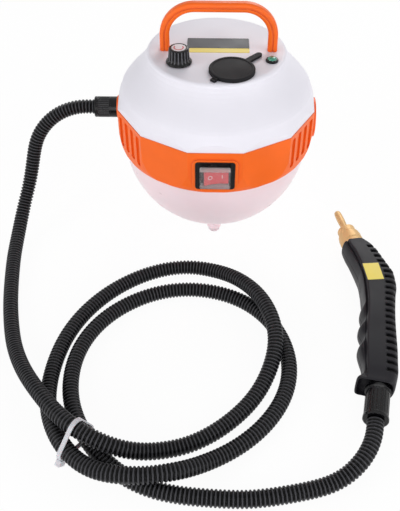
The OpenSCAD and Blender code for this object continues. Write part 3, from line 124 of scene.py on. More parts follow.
def material(name, rgb, rough, spread=0.05, fine=900, grain=0.12, edge=0.3, wear_and_highlight=0.0, wear_and_highlight_rgb=None,
             metal=0.0, mark=None, mark_rgb=None, painted_groove_shade=None, extra=None):
    """Moulded finish: mottled colour, uneven gloss, fine grain, rounded and worn edges with painted
    highlight, and painted shade in grooves.

    spread is how far the colour varies, fine and grain are the scale and the strength of the grain, and
    edge is the radius of edges in millimetres. mark names a mesh attribute that pulls the colour towards
    mark_rgb, which here paints highlights on crests and shade in slots. The groove colour is painted shade,
    laid where the surface is occluded in grooves, joints and seams, and the lighter edges are partly wear
    and partly painted highlight. extra sets other values of the shader.
    """
    made = bpy.data.materials.new(name)
    made.use_nodes = True
    tree = made.node_tree
    nodes, link = tree.nodes, tree.links.new
    shade = nodes["Principled BSDF"]
    shade.inputs["Metallic"].default_value = metal
    for socket, value in (extra or {}).items():
        shade.inputs[socket].default_value = value
    place = nodes.new("ShaderNodeTexCoord").outputs["Object"]

    def noise(scale, detail):
        n = nodes.new("ShaderNodeTexNoise")
        n.inputs["Scale"].default_value = scale
        n.inputs["Detail"].default_value = detail
        link(place, n.inputs["Vector"])
        return n.outputs["Fac"]

    cloud = noise(BROAD_SCALE, BROAD_DETAIL)
    speck = noise(fine, FINE_DETAIL)
    ramp = nodes.new("ShaderNodeValToRGB")
    base = linear(*rgb)
    dark, light = ramp.color_ramp.elements
    dark.position, light.position = NOISE_LOW, NOISE_HIGH
    dark.color = [v * (1 - spread) for v in base] + [1]
    light.color = [min(1, v * (1 + spread)) for v in base] + [1]
    link(cloud, ramp.inputs["Fac"])
    colour = ramp.outputs["Color"]
    bevel = nodes.new("ShaderNodeBevel")
    bevel.samples = EDGE_SAMPLES
    bevel.inputs["Radius"].default_value = edge * MM

    def toward(factor, tint):
        mix = nodes.new("ShaderNodeMix")
        mix.data_type = "RGBA"
        link(factor, mix.inputs["Factor"])
        link(colour, mix.inputs["A"])
        mix.inputs["B"].default_value = linear(*tint) + [1]
        return mix.outputs["Result"]

    if mark:
        attribute = nodes.new("ShaderNodeAttribute")
        attribute.attribute_name = mark
        colour = toward(attribute.outputs["Fac"], mark_rgb)
    # Painted shade: the colour darkens towards the groove colour where the surface is occluded
    if painted_groove_shade:
        hollow = nodes.new("ShaderNodeAmbientOcclusion")
        hollow.samples = GROOVE_SHADE_SAMPLES
        hollow.inputs["Distance"].default_value = GROOVE_SHADE_REACH * MM
        groove_shade = remap(tree, hollow.outputs["AO"], GROOVE_SHADE_FREE, GROOVE_SHADE_DEEP, 0, GROOVE_SHADE_MOST)
        colour = toward(groove_shade, painted_groove_shade)
    # Edges lighten where the rounded normal bends from the flat one, partly as wear and partly as painted
    # highlight
    if wear_and_highlight:
        flat = nodes.new("ShaderNodeNewGeometry").outputs["Normal"]
        dot = nodes.new("ShaderNodeVectorMath")
        dot.operation = "DOT_PRODUCT"
        link(flat, dot.inputs[0])
        link(bevel.outputs["Normal"], dot.inputs[1])
        worn_and_lit = remap(tree, dot.outputs["Value"], EDGE_FLAT, EDGE_BENT, 0, wear_and_highlight)
        colour = toward(worn_and_lit, wear_and_highlight_rgb or [min(255, v * WORN_AND_LIT_GAIN + WORN_AND_LIT_LIFT) for v in rgb])
    link(colour, shade.inputs["Base Color"])
    gloss = remap(tree, cloud, NOISE_LOW, NOISE_HIGH,
                  max(LEAST_ROUGH, rough - GLOSS_SPREAD), min(1, rough + GLOSS_SPREAD))
    link(gloss, shade.inputs["Roughness"])
    bump = nodes.new("ShaderNodeBump")
    bump.inputs["Strength"].default_value = grain
    bump.inputs["Distance"].default_value = GRAIN_DEPTH * MM
    link(speck, bump.inputs["Height"])
    link(bevel.outputs["Normal"], bump.inputs["Normal"])
    link(bump.outputs["Normal"], shade.inputs["Normal"])
    return made


# Finishes of the solids, by their material slots
SOFT = {"Subsurface Weight": 0.3, "Subsurface Radius": (1.0, 0.6, 0.6), "Subsurface Scale": 0.004}
CLEAR = {"Transmission Weight": 0.96, "IOR": 1.4}
LENS = {"Transmission Weight": 0.45, "IOR": 1.5, "Coat Weight": 0.6}
KNOB_COAT = {"Specular IOR Level": 0.12, "Coat Weight": 0.25, "Coat Roughness": 0.05}
FINISHES = {
    # Groove colours are painted shade, and the lighter edge colours are partly painted highlight
    "white_shell": dict(rgb=(240, 238, 247), rough=0.5, spread=0.012, grain=0.06, wear_and_highlight=0.3,
                        painted_groove_shade=(196, 190, 200)),
    # Band: its lighter edge colour is partly painted highlight on its rims
    "orange_shell": dict(rgb=(252, 106, 16), rough=0.42, spread=0.04, wear_and_highlight=0.45, edge=0.8,
                         wear_and_highlight_rgb=(255, 158, 96), painted_groove_shade=(216, 72, 6),
                         extra={"Specular IOR Level": 0.35}),
    "bowl_shell": dict(rgb=(248, 224, 230), rough=0.34, spread=0.02, extra=SOFT),
    "screw_steel": dict(rgb=(178, 178, 182), rough=0.3, spread=0.06, metal=1.0, fine=2200),
    "foot_rubber": dict(rgb=(222, 204, 209), rough=0.6, spread=0.04, grain=0.3, extra=SOFT),
    # Knob finish, also on the gland nut: its lighter edges and lighter flute crests are painted highlights
    "knob_black": dict(rgb=(6, 6, 8), rough=0.26, spread=0.1, wear_and_highlight=0.7, wear_and_highlight_rgb=(120, 120, 126),
                       mark="crest_highlight", mark_rgb=(104, 104, 110), extra=KNOB_COAT),
    "cap_white": dict(rgb=(228, 222, 226), rough=0.32, spread=0.02, wear_and_highlight=0.2),
    "control_grey": dict(rgb=(72, 73, 77), rough=0.5, spread=0.08),
    "lid_rubber": dict(rgb=(22, 21, 24), rough=0.62, spread=0.08, grain=0.35, wear_and_highlight=0.4,
                       extra={"Specular IOR Level": 0.18}),
    "lens_green": dict(rgb=(58, 182, 150), rough=0.14, spread=0.1, extra=LENS),
    "rocker_red": dict(rgb=(226, 72, 80), rough=0.28, spread=0.06, wear_and_highlight=0.5, extra={"Coat Weight": 0.3}),
    "cover_clear": dict(rgb=(250, 246, 247), rough=0.1, spread=0.01, grain=0.04, extra=CLEAR),
    "tank_plastic": dict(rgb=(222, 226, 226), rough=0.45, spread=0.03, extra=SOFT),
    "chassis_metal": dict(rgb=(170, 172, 175), rough=0.38, metal=1.0),
    "heater_aluminium": dict(rgb=(196, 198, 201), rough=0.42, metal=1.0, grain=0.3),
    "cutout_ceramic": dict(rgb=(222, 216, 202), rough=0.5, spread=0.04, grain=0.3),
    "pump_blue": dict(rgb=(66, 98, 142), rough=0.42, spread=0.06),
    "board_green": dict(rgb=(34, 92, 58), rough=0.38, spread=0.1),
    "standoff_brass": dict(rgb=(205, 165, 90), rough=0.3, metal=1.0),
    "tube_silicone": dict(rgb=(226, 214, 208), rough=0.4, spread=0.03, extra=SOFT),
    "hose_black": dict(rgb=(20, 20, 22), rough=0.42, spread=0.12, edge=0.25, wear_and_highlight=0.3, grain=0.25),
    "gun_charcoal": dict(rgb=(64, 63, 68), rough=0.5, spread=0.06, fine=1500, grain=0.25, wear_and_highlight=0.35),
    "nozzle_brass": dict(rgb=(218, 180, 124), rough=0.46, spread=0.08, metal=0.35, fine=1800, grain=0.2),
}
LOOKS = {name: material(name, **finish) for name, finish in FINISHES.items()}

# Splash cover: how much its walls and its front face forwards, and how clear they are
WALL_FACING, FRONT_FACING = 0.5, 0.95
WALL_CLEAR, FRONT_CLEAR = 0.62, 0.97


def frost_walls(made):
    """Walls of the splash cover are frosted, its front is clear."""
    tree = made.node_tree
    nodes, link = tree.nodes, tree.links.new
    normal = nodes.new("ShaderNodeSeparateXYZ")
    link(nodes.new("ShaderNodeNewGeometry").outputs["Normal"], normal.inputs[0])
    facing = nodes.new("ShaderNodeMath")
    facing.operation = "ABSOLUTE"
    link(normal.outputs["Y"], facing.inputs[0])
    clear = remap(tree, facing.outputs[0], WALL_FACING, FRONT_FACING, WALL_CLEAR, FRONT_CLEAR)
    link(clear, nodes["Principled BSDF"].inputs["Transmission Weight"])


frost_walls(LOOKS["cover_clear"])

# Finishes of the pieces that are made here, and of the tie
# Hose: the tops of its ribs are lightened towards grey as painted highlight
HOSE_RIB = material("hose_rib", rgb=(3, 3, 4), rough=0.32, spread=0.15, edge=0.1, grain=0.2,
                    mark="crest_highlight", mark_rgb=(72, 72, 76), extra={"Specular IOR Level": 0.13})
# Gun: its slots darken towards black by how deep each point lies in them, as painted shade
GUN_SKIN = material("gun_skin", rgb=(24, 23, 28), rough=0.46, spread=0.06, fine=1500, grain=0.3, edge=0.2,
                    mark="cut", mark_rgb=(4, 4, 5), extra={"Specular IOR Level": 0.2})
TIE_NYLON = material("tie_nylon", rgb=(208, 207, 213), rough=0.36, spread=0.03, extra=SOFT)
PLATE_BLACK = material("plate_black", rgb=(54, 53, 58), rough=0.45, spread=0.08, wear_and_highlight=0.4,
                       extra={"Specular IOR Level": 0.35})
PLATE_YELLOW = material("plate_yellow", rgb=(238, 219, 92), rough=0.42, spread=0.04, edge=0.15)
PRINT_RED = material("print_red", rgb=(206, 88, 96), rough=0.5, spread=0.06, edge=0.02)
PRINT_WHITE = material("print_white", rgb=(238, 232, 232), rough=0.45, spread=0.03, edge=0.02)

SLOT_OF = {part["node"]: part["material_slot"] for part in frame["record"]["subparts"]}
for node, obj in frame["nodes"].items():
    for held in obj.material_slots:
        held.material = TIE_NYLON if node == "cable_tie" else LOOKS[SLOT_OF[node]]


def piece(name, points, faces, look, body="base", sharp=40, marks=None):
    """Mesh that rides on a body: edges past sharp degrees stay sharp, and marks are its attributes."""
    mesh = bpy.data.meshes.new(name)
    mesh.from_pydata([tuple(p) for p in points], [], faces)
    mesh.materials.append(look)
    mesh.polygons.foreach_set("use_smooth", [True] * len(mesh.polygons))
    mesh.set_sharp_from_angle(angle=math.radians(sharp))
    for key, values in (marks or {}).items():
        layer = mesh.attributes.new(key, "FLOAT", "POINT")
        layer.data.foreach_set("value", np.asarray(values, dtype=np.float32))
    mesh.update()
    obj = bpy.data.objects.new(name, mesh)
    bpy.context.collection.objects.link(obj)
    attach(obj, body)
    return obj


def skin(rings, count, closed=True):
    """Quads between rings of count points each."""
    faces = []
    last = count if closed else count - 1
    for i in range(rings - 1):
        a, b = i * count, (i + 1) * count
        for j in range(last):
            k = (j + 1) % count
            faces.append((a + j, a + k, b + k, b + j))
    return faces


def unit(v):
    return v / np.linalg.norm(v, axis=-1, keepdims=True)


def level(turn):
    """Level direction, turned by so many degrees to the left from straight back."""
    return np.array([-math.sin(math.radians(turn)), math.cos(math.radians(turn)), 0.0])


# Places that several pieces share, in millimetres: gland axis, zero of the gun's stations, deck, knob axis
GLAND_Y, GLAND_Z = 2.0, 137.0
GUN_X, GUN_Y, GUN_Z = 150, -300, 18
DECK_Z = 210
KNOB_X, KNOB_Y = -38.3, -29.4
# The gun bends: turns of its butt and its muzzle, in degrees
BUTT_TURN, MUZZLE_TURN = -12.25, 12

# Steam hose: points of its route, in millimetres, between straight leads at its ends
START = np.array([-133.976, GLAND_Y, GLAND_Z])
START_DIR = np.array([-1.0, 0.0, 0.0])
END = np.array([147.59, -325.68, GUN_Z])
END_DIR = -level(BUTT_TURN)
LEAD = 7.0
LEAD_POINTS = 3
ROUTE = [
    (-159.3, 1.5, 135.4), (-172.7, 0.3, 130.6), (-185.3, -1.9, 122.5), (-195.8, -4.8, 111.6),
    (-203.5, -8.2, 98.4), (-207.8, -11.9, 83.5), (-211.5, -17.5, 66.0), (-216.0, -25.0, 48.0),
    (-221.0, -38.0, 33.0), (-224.0, -56.0, 21.0), (-225.0, -79.0, 13.0), (-225.0, -102.0, 9.0),
    (-222, -130, 8), (-215, -178, 8), (-204, -222, 9), (-195, -247, 13), (-181, -276, 20),
    (-162, -305, 28), (-141, -331, 31), (-124.2, -346.3, 33.3), (-107.1, -356.5, 31.7),
    (-89.8, -361.8, 26.8), (-73.9, -362.4, 20.2), (-58, -360, 14), (-40, -355, 10), (-22, -349, 8),
    (0, -337, 8), (22, -318, 8), (40, -296, 8), (52, -274, 11), (60, -252, 17), (63, -230, 22.1),
    (59, -204, 25.5), (47, -174, 25), (26, -145, 18), (2, -126, 10), (-28, -118, 8),
    (-59, -124, 8), (-89, -140, 8), (-116, -164, 8), (-137, -194, 8), (-150, -226, 8),
    (-156, -261, 8), (-156, -294, 9), (-150, -322, 13), (-138, -348, 16), (-122, -368, 17),
    (-103, -382, 20), (-81.1, -389.2, 24.2), (-57.1, -390.5, 25.8), (-35.8, -385.2, 23.1),
    (-18, -377, 17), (2, -364, 10), (22, -351, 8), (44, -332, 8), (63, -306, 8), (74, -277, 8),
    (76, -246, 8), (68, -213, 8), (51, -186, 8), (28, -167, 8), (0, -156, 8), (-30, -153, 8),
    (-60, -159, 8), (-88, -174, 8), (-112, -196, 8), (-129, -224, 8), (-137, -256, 8),
    (-136, -289, 9), (-128, -318, 11), (-114, -344, 12), (-97, -365, 11), (-77, -381, 9),
    (-53, -392.5, 8), (-27, -398, 8), (2, -400, 8), (32, -401, 8), (62, -396, 8.2),
    (95.2, -388.2, 7.7), (112, -380.7, 9.9), (122.5, -373.6, 13), (132.3, -363.8, 15.4),
    (140.4, -351, 17.3),
]
SPAN_STEPS = 40
PATH_POINTS = 380
# Ribs of the hose: pitch, least and greatest radius, and a rib as share of the pitch and radius
RIB_PITCH = 3.7
RIB_FOOT, RIB_TOP = 6.5, 7.9
RIB = [
    (0.0, RIB_FOOT), (0.12, 6.6), (0.22, 7.3), (0.34, 7.78),
    (0.50, RIB_TOP), (0.66, 7.78), (0.78, 7.3), (0.88, 6.6),
]
# Painted highlight on the tops of the ribs: power that narrows it
RIB_HIGHLIGHT_POWER = 8
HOSE_SIDES = 22
# The hose's direction is taken between points so far before and behind, in millimetres
HEADING_REACH = 1.0


def hose_line():
    """Fine points of the route, a uniform cubic spline, and the length up to each."""
    lead = [START + i * LEAD * START_DIR for i in range(LEAD_POINTS)]
    tail = [END + i * LEAD * END_DIR for i in reversed(range(LEAD_POINTS))]
    c = np.vstack([lead, ROUTE, tail])
    c = np.vstack([2 * c[0] - c[1], c, 2 * c[-1] - c[-2]])
    f = np.linspace(0, 1, SPAN_STEPS, endpoint=False)[:, None]
    runs = []
    for i in range(len(c) - 3):
        runs.append(((1 - f) ** 3 * c[i] + (3 * f ** 3 - 6 * f ** 2 + 4) * c[i + 1]
                     + (-3 * f ** 3 + 3 * f ** 2 + 3 * f + 1) * c[i + 2] + f ** 3 * c[i + 3]) / 6)
    line = np.vstack(runs + [(c[-3] + 4 * c[-2] + c[-1]) / 6])
    step = np.linalg.norm(np.diff(line, axis=0), axis=1)
    return line, np.concatenate([[0], np.cumsum(step)])


def build_hose():
    """Ribbed hose, the path of its middle and its length, both in metres."""
    line, walked = hose_line()
    length = walked[-1]
    ribs = round(length / RIB_PITCH)
    s = np.array([(i + f) * length / ribs for i in range(ribs) for f, r in RIB] + [length])
    radius = np.array([r for i in range(ribs) for f, r in RIB] + [RIB_FOOT])

    def at(where):
        return np.stack([np.interp(where, walked, line[:, k]) for k in range(3)], axis=1)

    centre = at(s)
    along = unit(at(np.minimum(s + HEADING_REACH, length)) - at(np.maximum(s - HEADING_REACH, 0)))
    side = unit(np.cross([0, 0, 1.0], along))
    lift = np.cross(along, side)
    turn = np.linspace(0, 2 * math.pi, HOSE_SIDES, endpoint=False)[None, :, None]
    ring = np.cos(turn) * side[:, None, :] + np.sin(turn) * lift[:, None, :]
    points = centre[:, None, :] + radius[:, None, None] * ring
    # Painted highlight: the colour lightens towards the top of each rib
    crest_highlight = ((radius - RIB_FOOT) / (RIB_TOP - RIB_FOOT)) ** RIB_HIGHLIGHT_POWER
    hose = piece("hose", points.reshape(-1, 3) * MM, skin(len(s), HOSE_SIDES), HOSE_RIB, sharp=75,
                 marks={"crest_highlight": np.repeat(crest_highlight, HOSE_SIDES)})
    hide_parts("steam_hose")
    path = [tuple(p * MM) for p in at(np.linspace(0, length, PATH_POINTS))]
    return hose, path, length * MM


# Gun: its stations run from the butt to the end that its tables are drawn for, and its halves stop at TOP
BUTT = 9.5
GUN_LEN = 213.0
TOP = 204.8
# Turn in degrees, front, back, half thickness and crease, each by station
TURN = [(BUTT, BUTT_TURN), (60, -4), (120, 0), (170, 6), (GUN_LEN, MUZZLE_TURN)]
FRONT = [
    (BUTT, -14.6), (10.5, -15.8), (12.5, -15), (16, -10.6), (20, -8.6), (26, -7.6), (32, -7.3),
    (50.5, -9.3), (64, -2.3), (77, -5.4), (88, 1.2), (100.5, -0.6), (112, 4), (123, 4.4), (140, 5.4),
    (154, 5.4), (162, 4.2), (183, -0.9), (198, -5), (207, -6.9), (GUN_LEN, -6.4),
]
BACK = [
    (BUTT, 17.6), (10.5, 19.4), (15.5, 22), (28.5, 26), (36, 27), (53.5, 29.6), (66, 30.9), (79, 32.3),
    (89, 33.5), (101.5, 35.3), (113.5, 37.4), (123, 39.2), (138, 42.4), (152, 42.5), (160, 40.1),
    (179, 33.4), (189, 29.9), (197, 25.3), (201, 22.0), (205, 18.5), (GUN_LEN, 14),
]
HALF = [
    (BUTT, 12.4), (10.5, 13.6), (14, 13.9), (26, 15.5), (60, 17), (139, 18), (181, 16.5), (205, 14.5),
    (GUN_LEN, 12.6),
]
CREASE = [
    (BUTT, -7.6), (19, -6.2), (55, -2.1), (78, 1.5), (102, 5.6), (123, 7.6), (147, 8.4), (167, 5.8),
    (187, 2.2), (197, -0.8), (GUN_LEN, -2.6),
]
CREASE_FADE = 14
# Section of a half, back to front: place, height with and without the crease, outward direction
SECTION = [
    (1, 0, 0, 1, 0), (0.998, 0.16, 0.16, 1, 0.05), (0.99, 0.38, 0.38, 0.95, 0.3),
    (0.95, 0.66, 0.66, 0.85, 0.53), (0.87, 0.86, 0.86, 0.6, 0.8), (0.80, 0.93, 0.93, 0.4, 0.92),
    (0.74, 0.97, 0.97, 0.25, 0.97), (0.66, 0.99, 0.99, 0.1, 0.99), (0.58, 1, 1, 0, 1),
    (0.30, 1, 1, 0, 1), (0.09, 1, 1, 0, 1), (0.055, 0.975, 1, 0, 1), (0.03, 0.89, 1, 0, 1),
    (0.01, 0.79, 1, 0, 1), (-0.05, 0.745, 1, 0, 1), (-0.14, 0.775, 1, 0, 1),
    (-0.30, 0.81, 1, 0, 1), (-0.48, 0.78, 0.995, 0, 1), (-0.65, 0.70, 0.98, 0, 1),
    (-0.80, 0.56, 0.94, 0, 1), (-0.90, 0.42, 0.86, 0, 1), (-0.97, 0.24, 0.65, 0, 1), (-1, 0, 0, 0, 1),
]
# Slots of the back: stations, depth, half width, run of their walls, slant, and both ends with their run
SLOTS = 22
SLOT_FIRST, SLOT_LAST = 22.9, 190.27
SLOT_AT = np.linspace(SLOT_FIRST, SLOT_LAST, SLOTS)
SLOT_DEEP = 3.4
SLOT_HALF, SLOT_WALL = 2.3, 0.7
SLOT_SLANT = -2.5
SLANT_FADE = 18
SLANT_FROM = 0.5
SLOT_INNER, INNER_RUN = 0.57, 0.09
SLOT_OUTER, OUTER_RUN = 0.985, 0.06
# Hollows of the fingers in the flat side: station, reach and weight, depth, fade from the crease and edge
HOLLOWS = [(64, 7, 1), (88, 6.5, 1), (33, 9, 0.8)]
HOLLOW_DEEP = 0.2
HOLLOW_FADE, HOLLOW_EDGE = 0.5, 0.05
# Stations at both ends, and beside the middle of each slot
END_STATIONS = [
    10.5, 11, 11.6, 12.4, 13.2, 14, 15, 16, 17, 18.2, 19.5, 21, 23,
    195, 197, 199, 201, 202.6, 203.8, TOP,
]
BESIDE_SLOT = [-3.2, -2.4, -2.2, -1.95, -1.6, -0.5, 0.5, 1.6, 1.95, 2.2, 2.4, 3.2, 3.98]
# Places in the rows of SECTION, by half rows, and closer at both edges and in the slots
PLACES = np.unique(np.concatenate([
    np.arange(1, len(SECTION) - 0.99, 0.5), np.arange(5, 8.01, 0.25),
    [0, 0.12, 0.3, 0.6, 8.08, 8.16, 8.24, 21.7, 21.88],
]))
# The edges of a half are rounded off by this much where they meet the other
PARTING = 0.35
# Cup of the butt, from its floor out to the rim: depth and share of the rim, which stands out a little
CUP = [
    (7, 0.02), (7, 0.5), (6.6, 0.66), (5.4, 0.78), (3.6, 0.85), (1.8, 0.885), (0.7, 0.9), (0.2, 0.915),
    (0, 0.945), (0.12, 0.97), (0.45, 0.99),
]
RIM_OUT = 1
# Rounded end at the nozzle: distance past the last station and share of its section
NOSE = [(0.3, 0.99), (0.5, 0.965), (0.6, 0.93), (0.6, 0.5), (0.6, 0.02)]


def smooth(rows):
    """Monotone cubic through a table."""
    x, y = np.array(rows, dtype=float).T
    h = np.diff(x)
    d = np.diff(y) / h
    slope = np.zeros_like(y)
    slope[0], slope[-1] = d[0], d[-1]
    for i in range(1, len(y) - 1):
        if d[i - 1] * d[i] > 0:
            w1, w2 = 2 * h[i] + h[i - 1], h[i] + 2 * h[i - 1]
            slope[i] = (w1 + w2) / (w1 / d[i - 1] + w2 / d[i])

    def at(q):
        q = np.clip(q, x[0], x[-1])
        i = np.clip(np.searchsorted(x, q) - 1, 0, len(h) - 1)
        t = (q - x[i]) / h[i]
        return (y[i] * (1 + 2 * t) * (1 - t) ** 2 + slope[i] * h[i] * t * (1 - t) ** 2
                + y[i + 1] * t * t * (3 - 2 * t) + slope[i + 1] * h[i] * t * t * (t - 1))

    return at


front_at, back_at, half_at, crease_at, turn_at = (smooth(t) for t in (FRONT, BACK, HALF, CREASE, TURN))
section_at = [smooth(list(enumerate(column))) for column in zip(*SECTION)]


def ramp01(v):
    """Ramp from zero to one, held beyond."""
    return np.clip(v, 0, 1)


def step01(v):
    """Smooth step from zero to one."""
    v = ramp01(v)
    return v * v * (3 - 2 * v)


def gun_points(stations, cut):
    """Points of a half at stations, where the slots go in by a share, and how deep each point lies in a
    slot, a share that also paints shade into the slots.

    Points are in millimetres, with heights above the parting plane.
    """
    m = np.asarray(stations, dtype=float)[:, None]
    s, tall, plain, nx, nz = (f(PLACES)[None, :] for f in section_at)
    slant = SLOT_SLANT * ramp01((m - BUTT) / SLANT_FADE) * ramp01((GUN_LEN - m) / SLANT_FADE)
    q = m - slant * (1 - tall) * (s > SLANT_FROM)
    f, b = front_at(q), back_at(q)
    d = (b - f) / 2 * np.tan(np.radians(turn_at(q)))
    crease = (crease_at(q) - f) / (b - f)
    k = np.where(s < 0, crease * (1 + s), crease + s * (1 - crease))
    z = half_at(q) * (plain + ramp01((q - BUTT) / CREASE_FADE) * (tall - plain))
    hollow = sum(weight * np.exp(-((q - at) / reach) ** 2) for at, reach, weight in HOLLOWS)
    z = z * (1 - HOLLOW_DEEP * hollow * ramp01(-s / HOLLOW_FADE) * ramp01((1 + s) / HOLLOW_EDGE))
    ends = step01((s - SLOT_INNER) / INNER_RUN) * step01((SLOT_OUTER - s) / OUTER_RUN)
    share = np.asarray(cut, dtype=float)[:, None] * ends
    deep = SLOT_DEEP * share
    run = np.sqrt((b - f) ** 2 + 4 * d * d)
    x = GUN_X + f + k * (b - f) - deep * nx * (b - f) / run
    y = GUN_Y + q - d + k * 2 * d - deep * nx * 2 * d / run
    return np.stack([x, y, z - deep * nz], axis=-1), share


def middle(ring):
    """Middle of a ring, on the parting plane."""
    return (ring[0] + ring[-1]) / 2 * [1, 1, 0]


def build_gun():
    """Both halves of the gun."""
    stations = set(END_STATIONS)
    for c in SLOT_AT:
        stations.update(c + o for o in BESIDE_SLOT)
    stations = np.array(sorted(stations))
    cut = np.max([step01((SLOT_HALF - abs(stations - c)) / SLOT_WALL) for c in SLOT_AT], axis=0)
    shell, share = gun_points(stations, cut)
    shell[:, 0, 0] -= PARTING
    shell[:, -1, 0] += PARTING
    rim, nose = shell[0], gun_points([TOP], [0])[0][0]
    inner = [middle(rim) + g * (rim - middle(rim)) - (depth - RIM_OUT) * END_DIR for depth, g in CUP]
    outer = [middle(nose) + g * (nose - middle(nose)) + a * level(MUZZLE_TURN) for a, g in NOSE]
    rings = np.concatenate([inner, shell, outer])
    # How deep each point lies in a slot darkens it: painted shade in the slots
    cuts = np.pad(share, ((len(inner), len(outer)), (0, 0)))
    faces = skin(len(rings), len(PLACES), closed=False)
    halves = []
    for name, way, node in (("gun_left", 1, "grip_left"), ("gun_right", -1, "grip_right")):
        points = rings.reshape(-1, 3) * [1, 1, way] + [0, 0, GUN_Z]
        turned = [f[::-1] for f in faces] if way > 0 else faces
        half = piece(name, points * MM, turned, GUN_SKIN, sharp=38, marks={"cut": cuts.ravel()})
        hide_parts(node)
        halves.append(half)
    return halves


# Turned pieces: grooves this deep, in millimetres, give a crest its full painted highlight, and a steep axis
# is upright
CREST_DEPTH = 1.3
# Painted highlight on the crests of the flutes: power that narrows it
FLUTE_HIGHLIGHT_POWER = 4
STEEP = 0.9


def lathe(name, origin, axis, rows, look, body="base", count=48, ribs=0):
    """Turned piece: rows of radius, distance along the axis and depth of the grooves, in millimetres."""
    axis = unit(np.array(axis, dtype=float))
    u = unit(np.cross(axis, [0.0, 0.0, 1.0] if abs(axis[2]) < STEEP else [1.0, 0.0, 0.0]))
    v = np.cross(axis, u)
    turn = np.linspace(0, 2 * math.pi, count, endpoint=False)
    groove = 0.5 - 0.5 * np.cos(ribs * turn)
    points = [np.array(origin) + a * axis + (r - sum(d) * g) * (math.cos(t) * u + math.sin(t) * v)
              for r, a, *d in rows for t, g in zip(turn, groove)]
    # Painted highlight: the colour lightens on the crests, by the depth of the grooves
    crest_highlight = [sum(d) / CREST_DEPTH * (1 - g) ** FLUTE_HIGHLIGHT_POWER for r, a, *d in rows for g in groove]
    return piece(name, np.array(points) * MM, skin(len(rows), count), look, body, marks={"crest_highlight": crest_highlight})


# Corners of plates: steps of each, and the least radius in millimetres
CORNER_STEPS = 6
LEAST_CORNER = 0.05


def rounded(x0, y0, x1, y1, r, inset):
    """Rounded rectangle, counter-clockwise, drawn in by inset."""
    x0, y0, x1, y1 = x0 + inset, y0 + inset, x1 - inset, y1 - inset
    r = max(LEAST_CORNER, r - inset)
    out = []
    corners = [(x1 - r, y1 - r, 0), (x0 + r, y1 - r, 90), (x0 + r, y0 + r, 180), (x1 - r, y0 + r, 270)]
    for cx, cy, first in corners:
        for i in range(CORNER_STEPS + 1):
            turn = math.radians(first + 90 * i / CORNER_STEPS)
            out.append((cx + r * math.cos(turn), cy + r * math.sin(turn)))
    return out


def build_plate(name, box, corner, z, rows, look, to_world=None, body="base"):
    """Thin plate with rounded corners and a formed edge: rows of inset and height."""
    loops = [[(x, y, z + h) for x, y in rounded(*box, corner, inset)] for inset, h in rows]
    count = len(loops[0])
    points = [q for loop in loops for q in loop]
    faces = skin(len(loops), count) + [tuple(range((len(loops) - 1) * count, len(loops) * count))]
    if to_world:
        points = [to_world(*q) for q in points]
    return piece(name, np.array(points) * MM, faces, look, body, sharp=30)


# Hose and gun, with the dark neck in its butt, the collar at its muzzle and the slim end of the nozzle
NECK = (155.02, -291.26, GUN_Z)
MUZZLE = (155.9, -87.0, GUN_Z)
MUZZLE_DIR = level(MUZZLE_TURN)
hose, hose_path, hose_length = build_hose()
gun = build_gun()
neck = lathe("gun_neck", NECK, -END_DIR, [
    (8.6, -0.4), (8.6, 0.5), (10.2, 0.7), (10.7, 1.2), (10.7, 2.8), (10.2, 3.3), (8.2, 3.6), (8.2, 7.4),
], LOOKS["knob_black"])
collar = lathe("nozzle_collar", MUZZLE, MUZZLE_DIR, [
    (9, -8.9), (12.4, -8.9), (12.7, -8.6), (12.7, -6.4), (12.6, -6, 0.3), (12.6, -0.8, 0.3), (12.7, -0.5),
    (12.7, -0.2), (12.4, -0.03), (9, -0.03),
], LOOKS["nozzle_brass"], count=192, ribs=48)
tip = lathe("nozzle_end", MUZZLE, MUZZLE_DIR, [
    (3.2, 24.5), (3.4, 26), (3.5, 28), (3.9, 31), (4.2, 36), (4.25, 42), (4.1, 48), (3.8, 51.5), (3.4, 53.3),
    (2.9, 53.9), (2.3, 54), (1.9, 53.8), (1.7, 53.2), (1.6, 46), (0.1, 45.9),
], LOOKS["nozzle_brass"])
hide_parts("nozzle_tip")

# Fluted knob, and the nut of the hose gland with the flange behind it
KNOB_FOOT = DECK_Z + 0.6
KNOB_H = 16
NUT_X, FLANGE_X = -115.98, -105.3
grip = lathe("knob_grip", (KNOB_X, KNOB_Y, KNOB_FOOT), (0, 0, 1), [
    (8.5, 0.02), (12.8, 0.02), (13.2, 0.2), (13.33, 0.5), (13.33, 1.0), (13.1, 1.5), (12.4, 2.1),
    (11.9, 2.7, 0.3), (11.4, 3.5, 0.8), (11.1, 4.4, 1.2), (10.9, 6, CREST_DEPTH), (10.6, 10, CREST_DEPTH),
    (10.4, 13.6, CREST_DEPTH), (10.3, 14.4, 1.0), (10.1, 15.1, 0.5), (9.7, 15.6), (9.2, 15.9), (8.7, KNOB_H),
    (7.7, KNOB_H), (7.4, 15.9), (7.3, 15.6), (7.3, 15.1),
], LOOKS["knob_black"], "knob", count=216, ribs=18)
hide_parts("knob")
nut = lathe("gland_grip", (NUT_X, GLAND_Y, GLAND_Z), START_DIR, [
    (8.0, 0.05), (10.9, 0.05), (11.3, 0.25), (11.38, 0.6), (11.38, 1.6), (11.3, 1.9, 0.5), (11.3, 13.6, 0.5),
    (11.38, 13.9), (11.38, 14.5), (11.0, 14.8), (11.0, 15.2), (11.38, 15.5), (11.38, 17.2), (11.2, 17.7),
    (10.8, 17.95), (8.6, 17.98), (8.2, 17.6), (8.0, 16),
], LOOKS["knob_black"], count=192, ribs=32)
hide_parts("gland_nut")
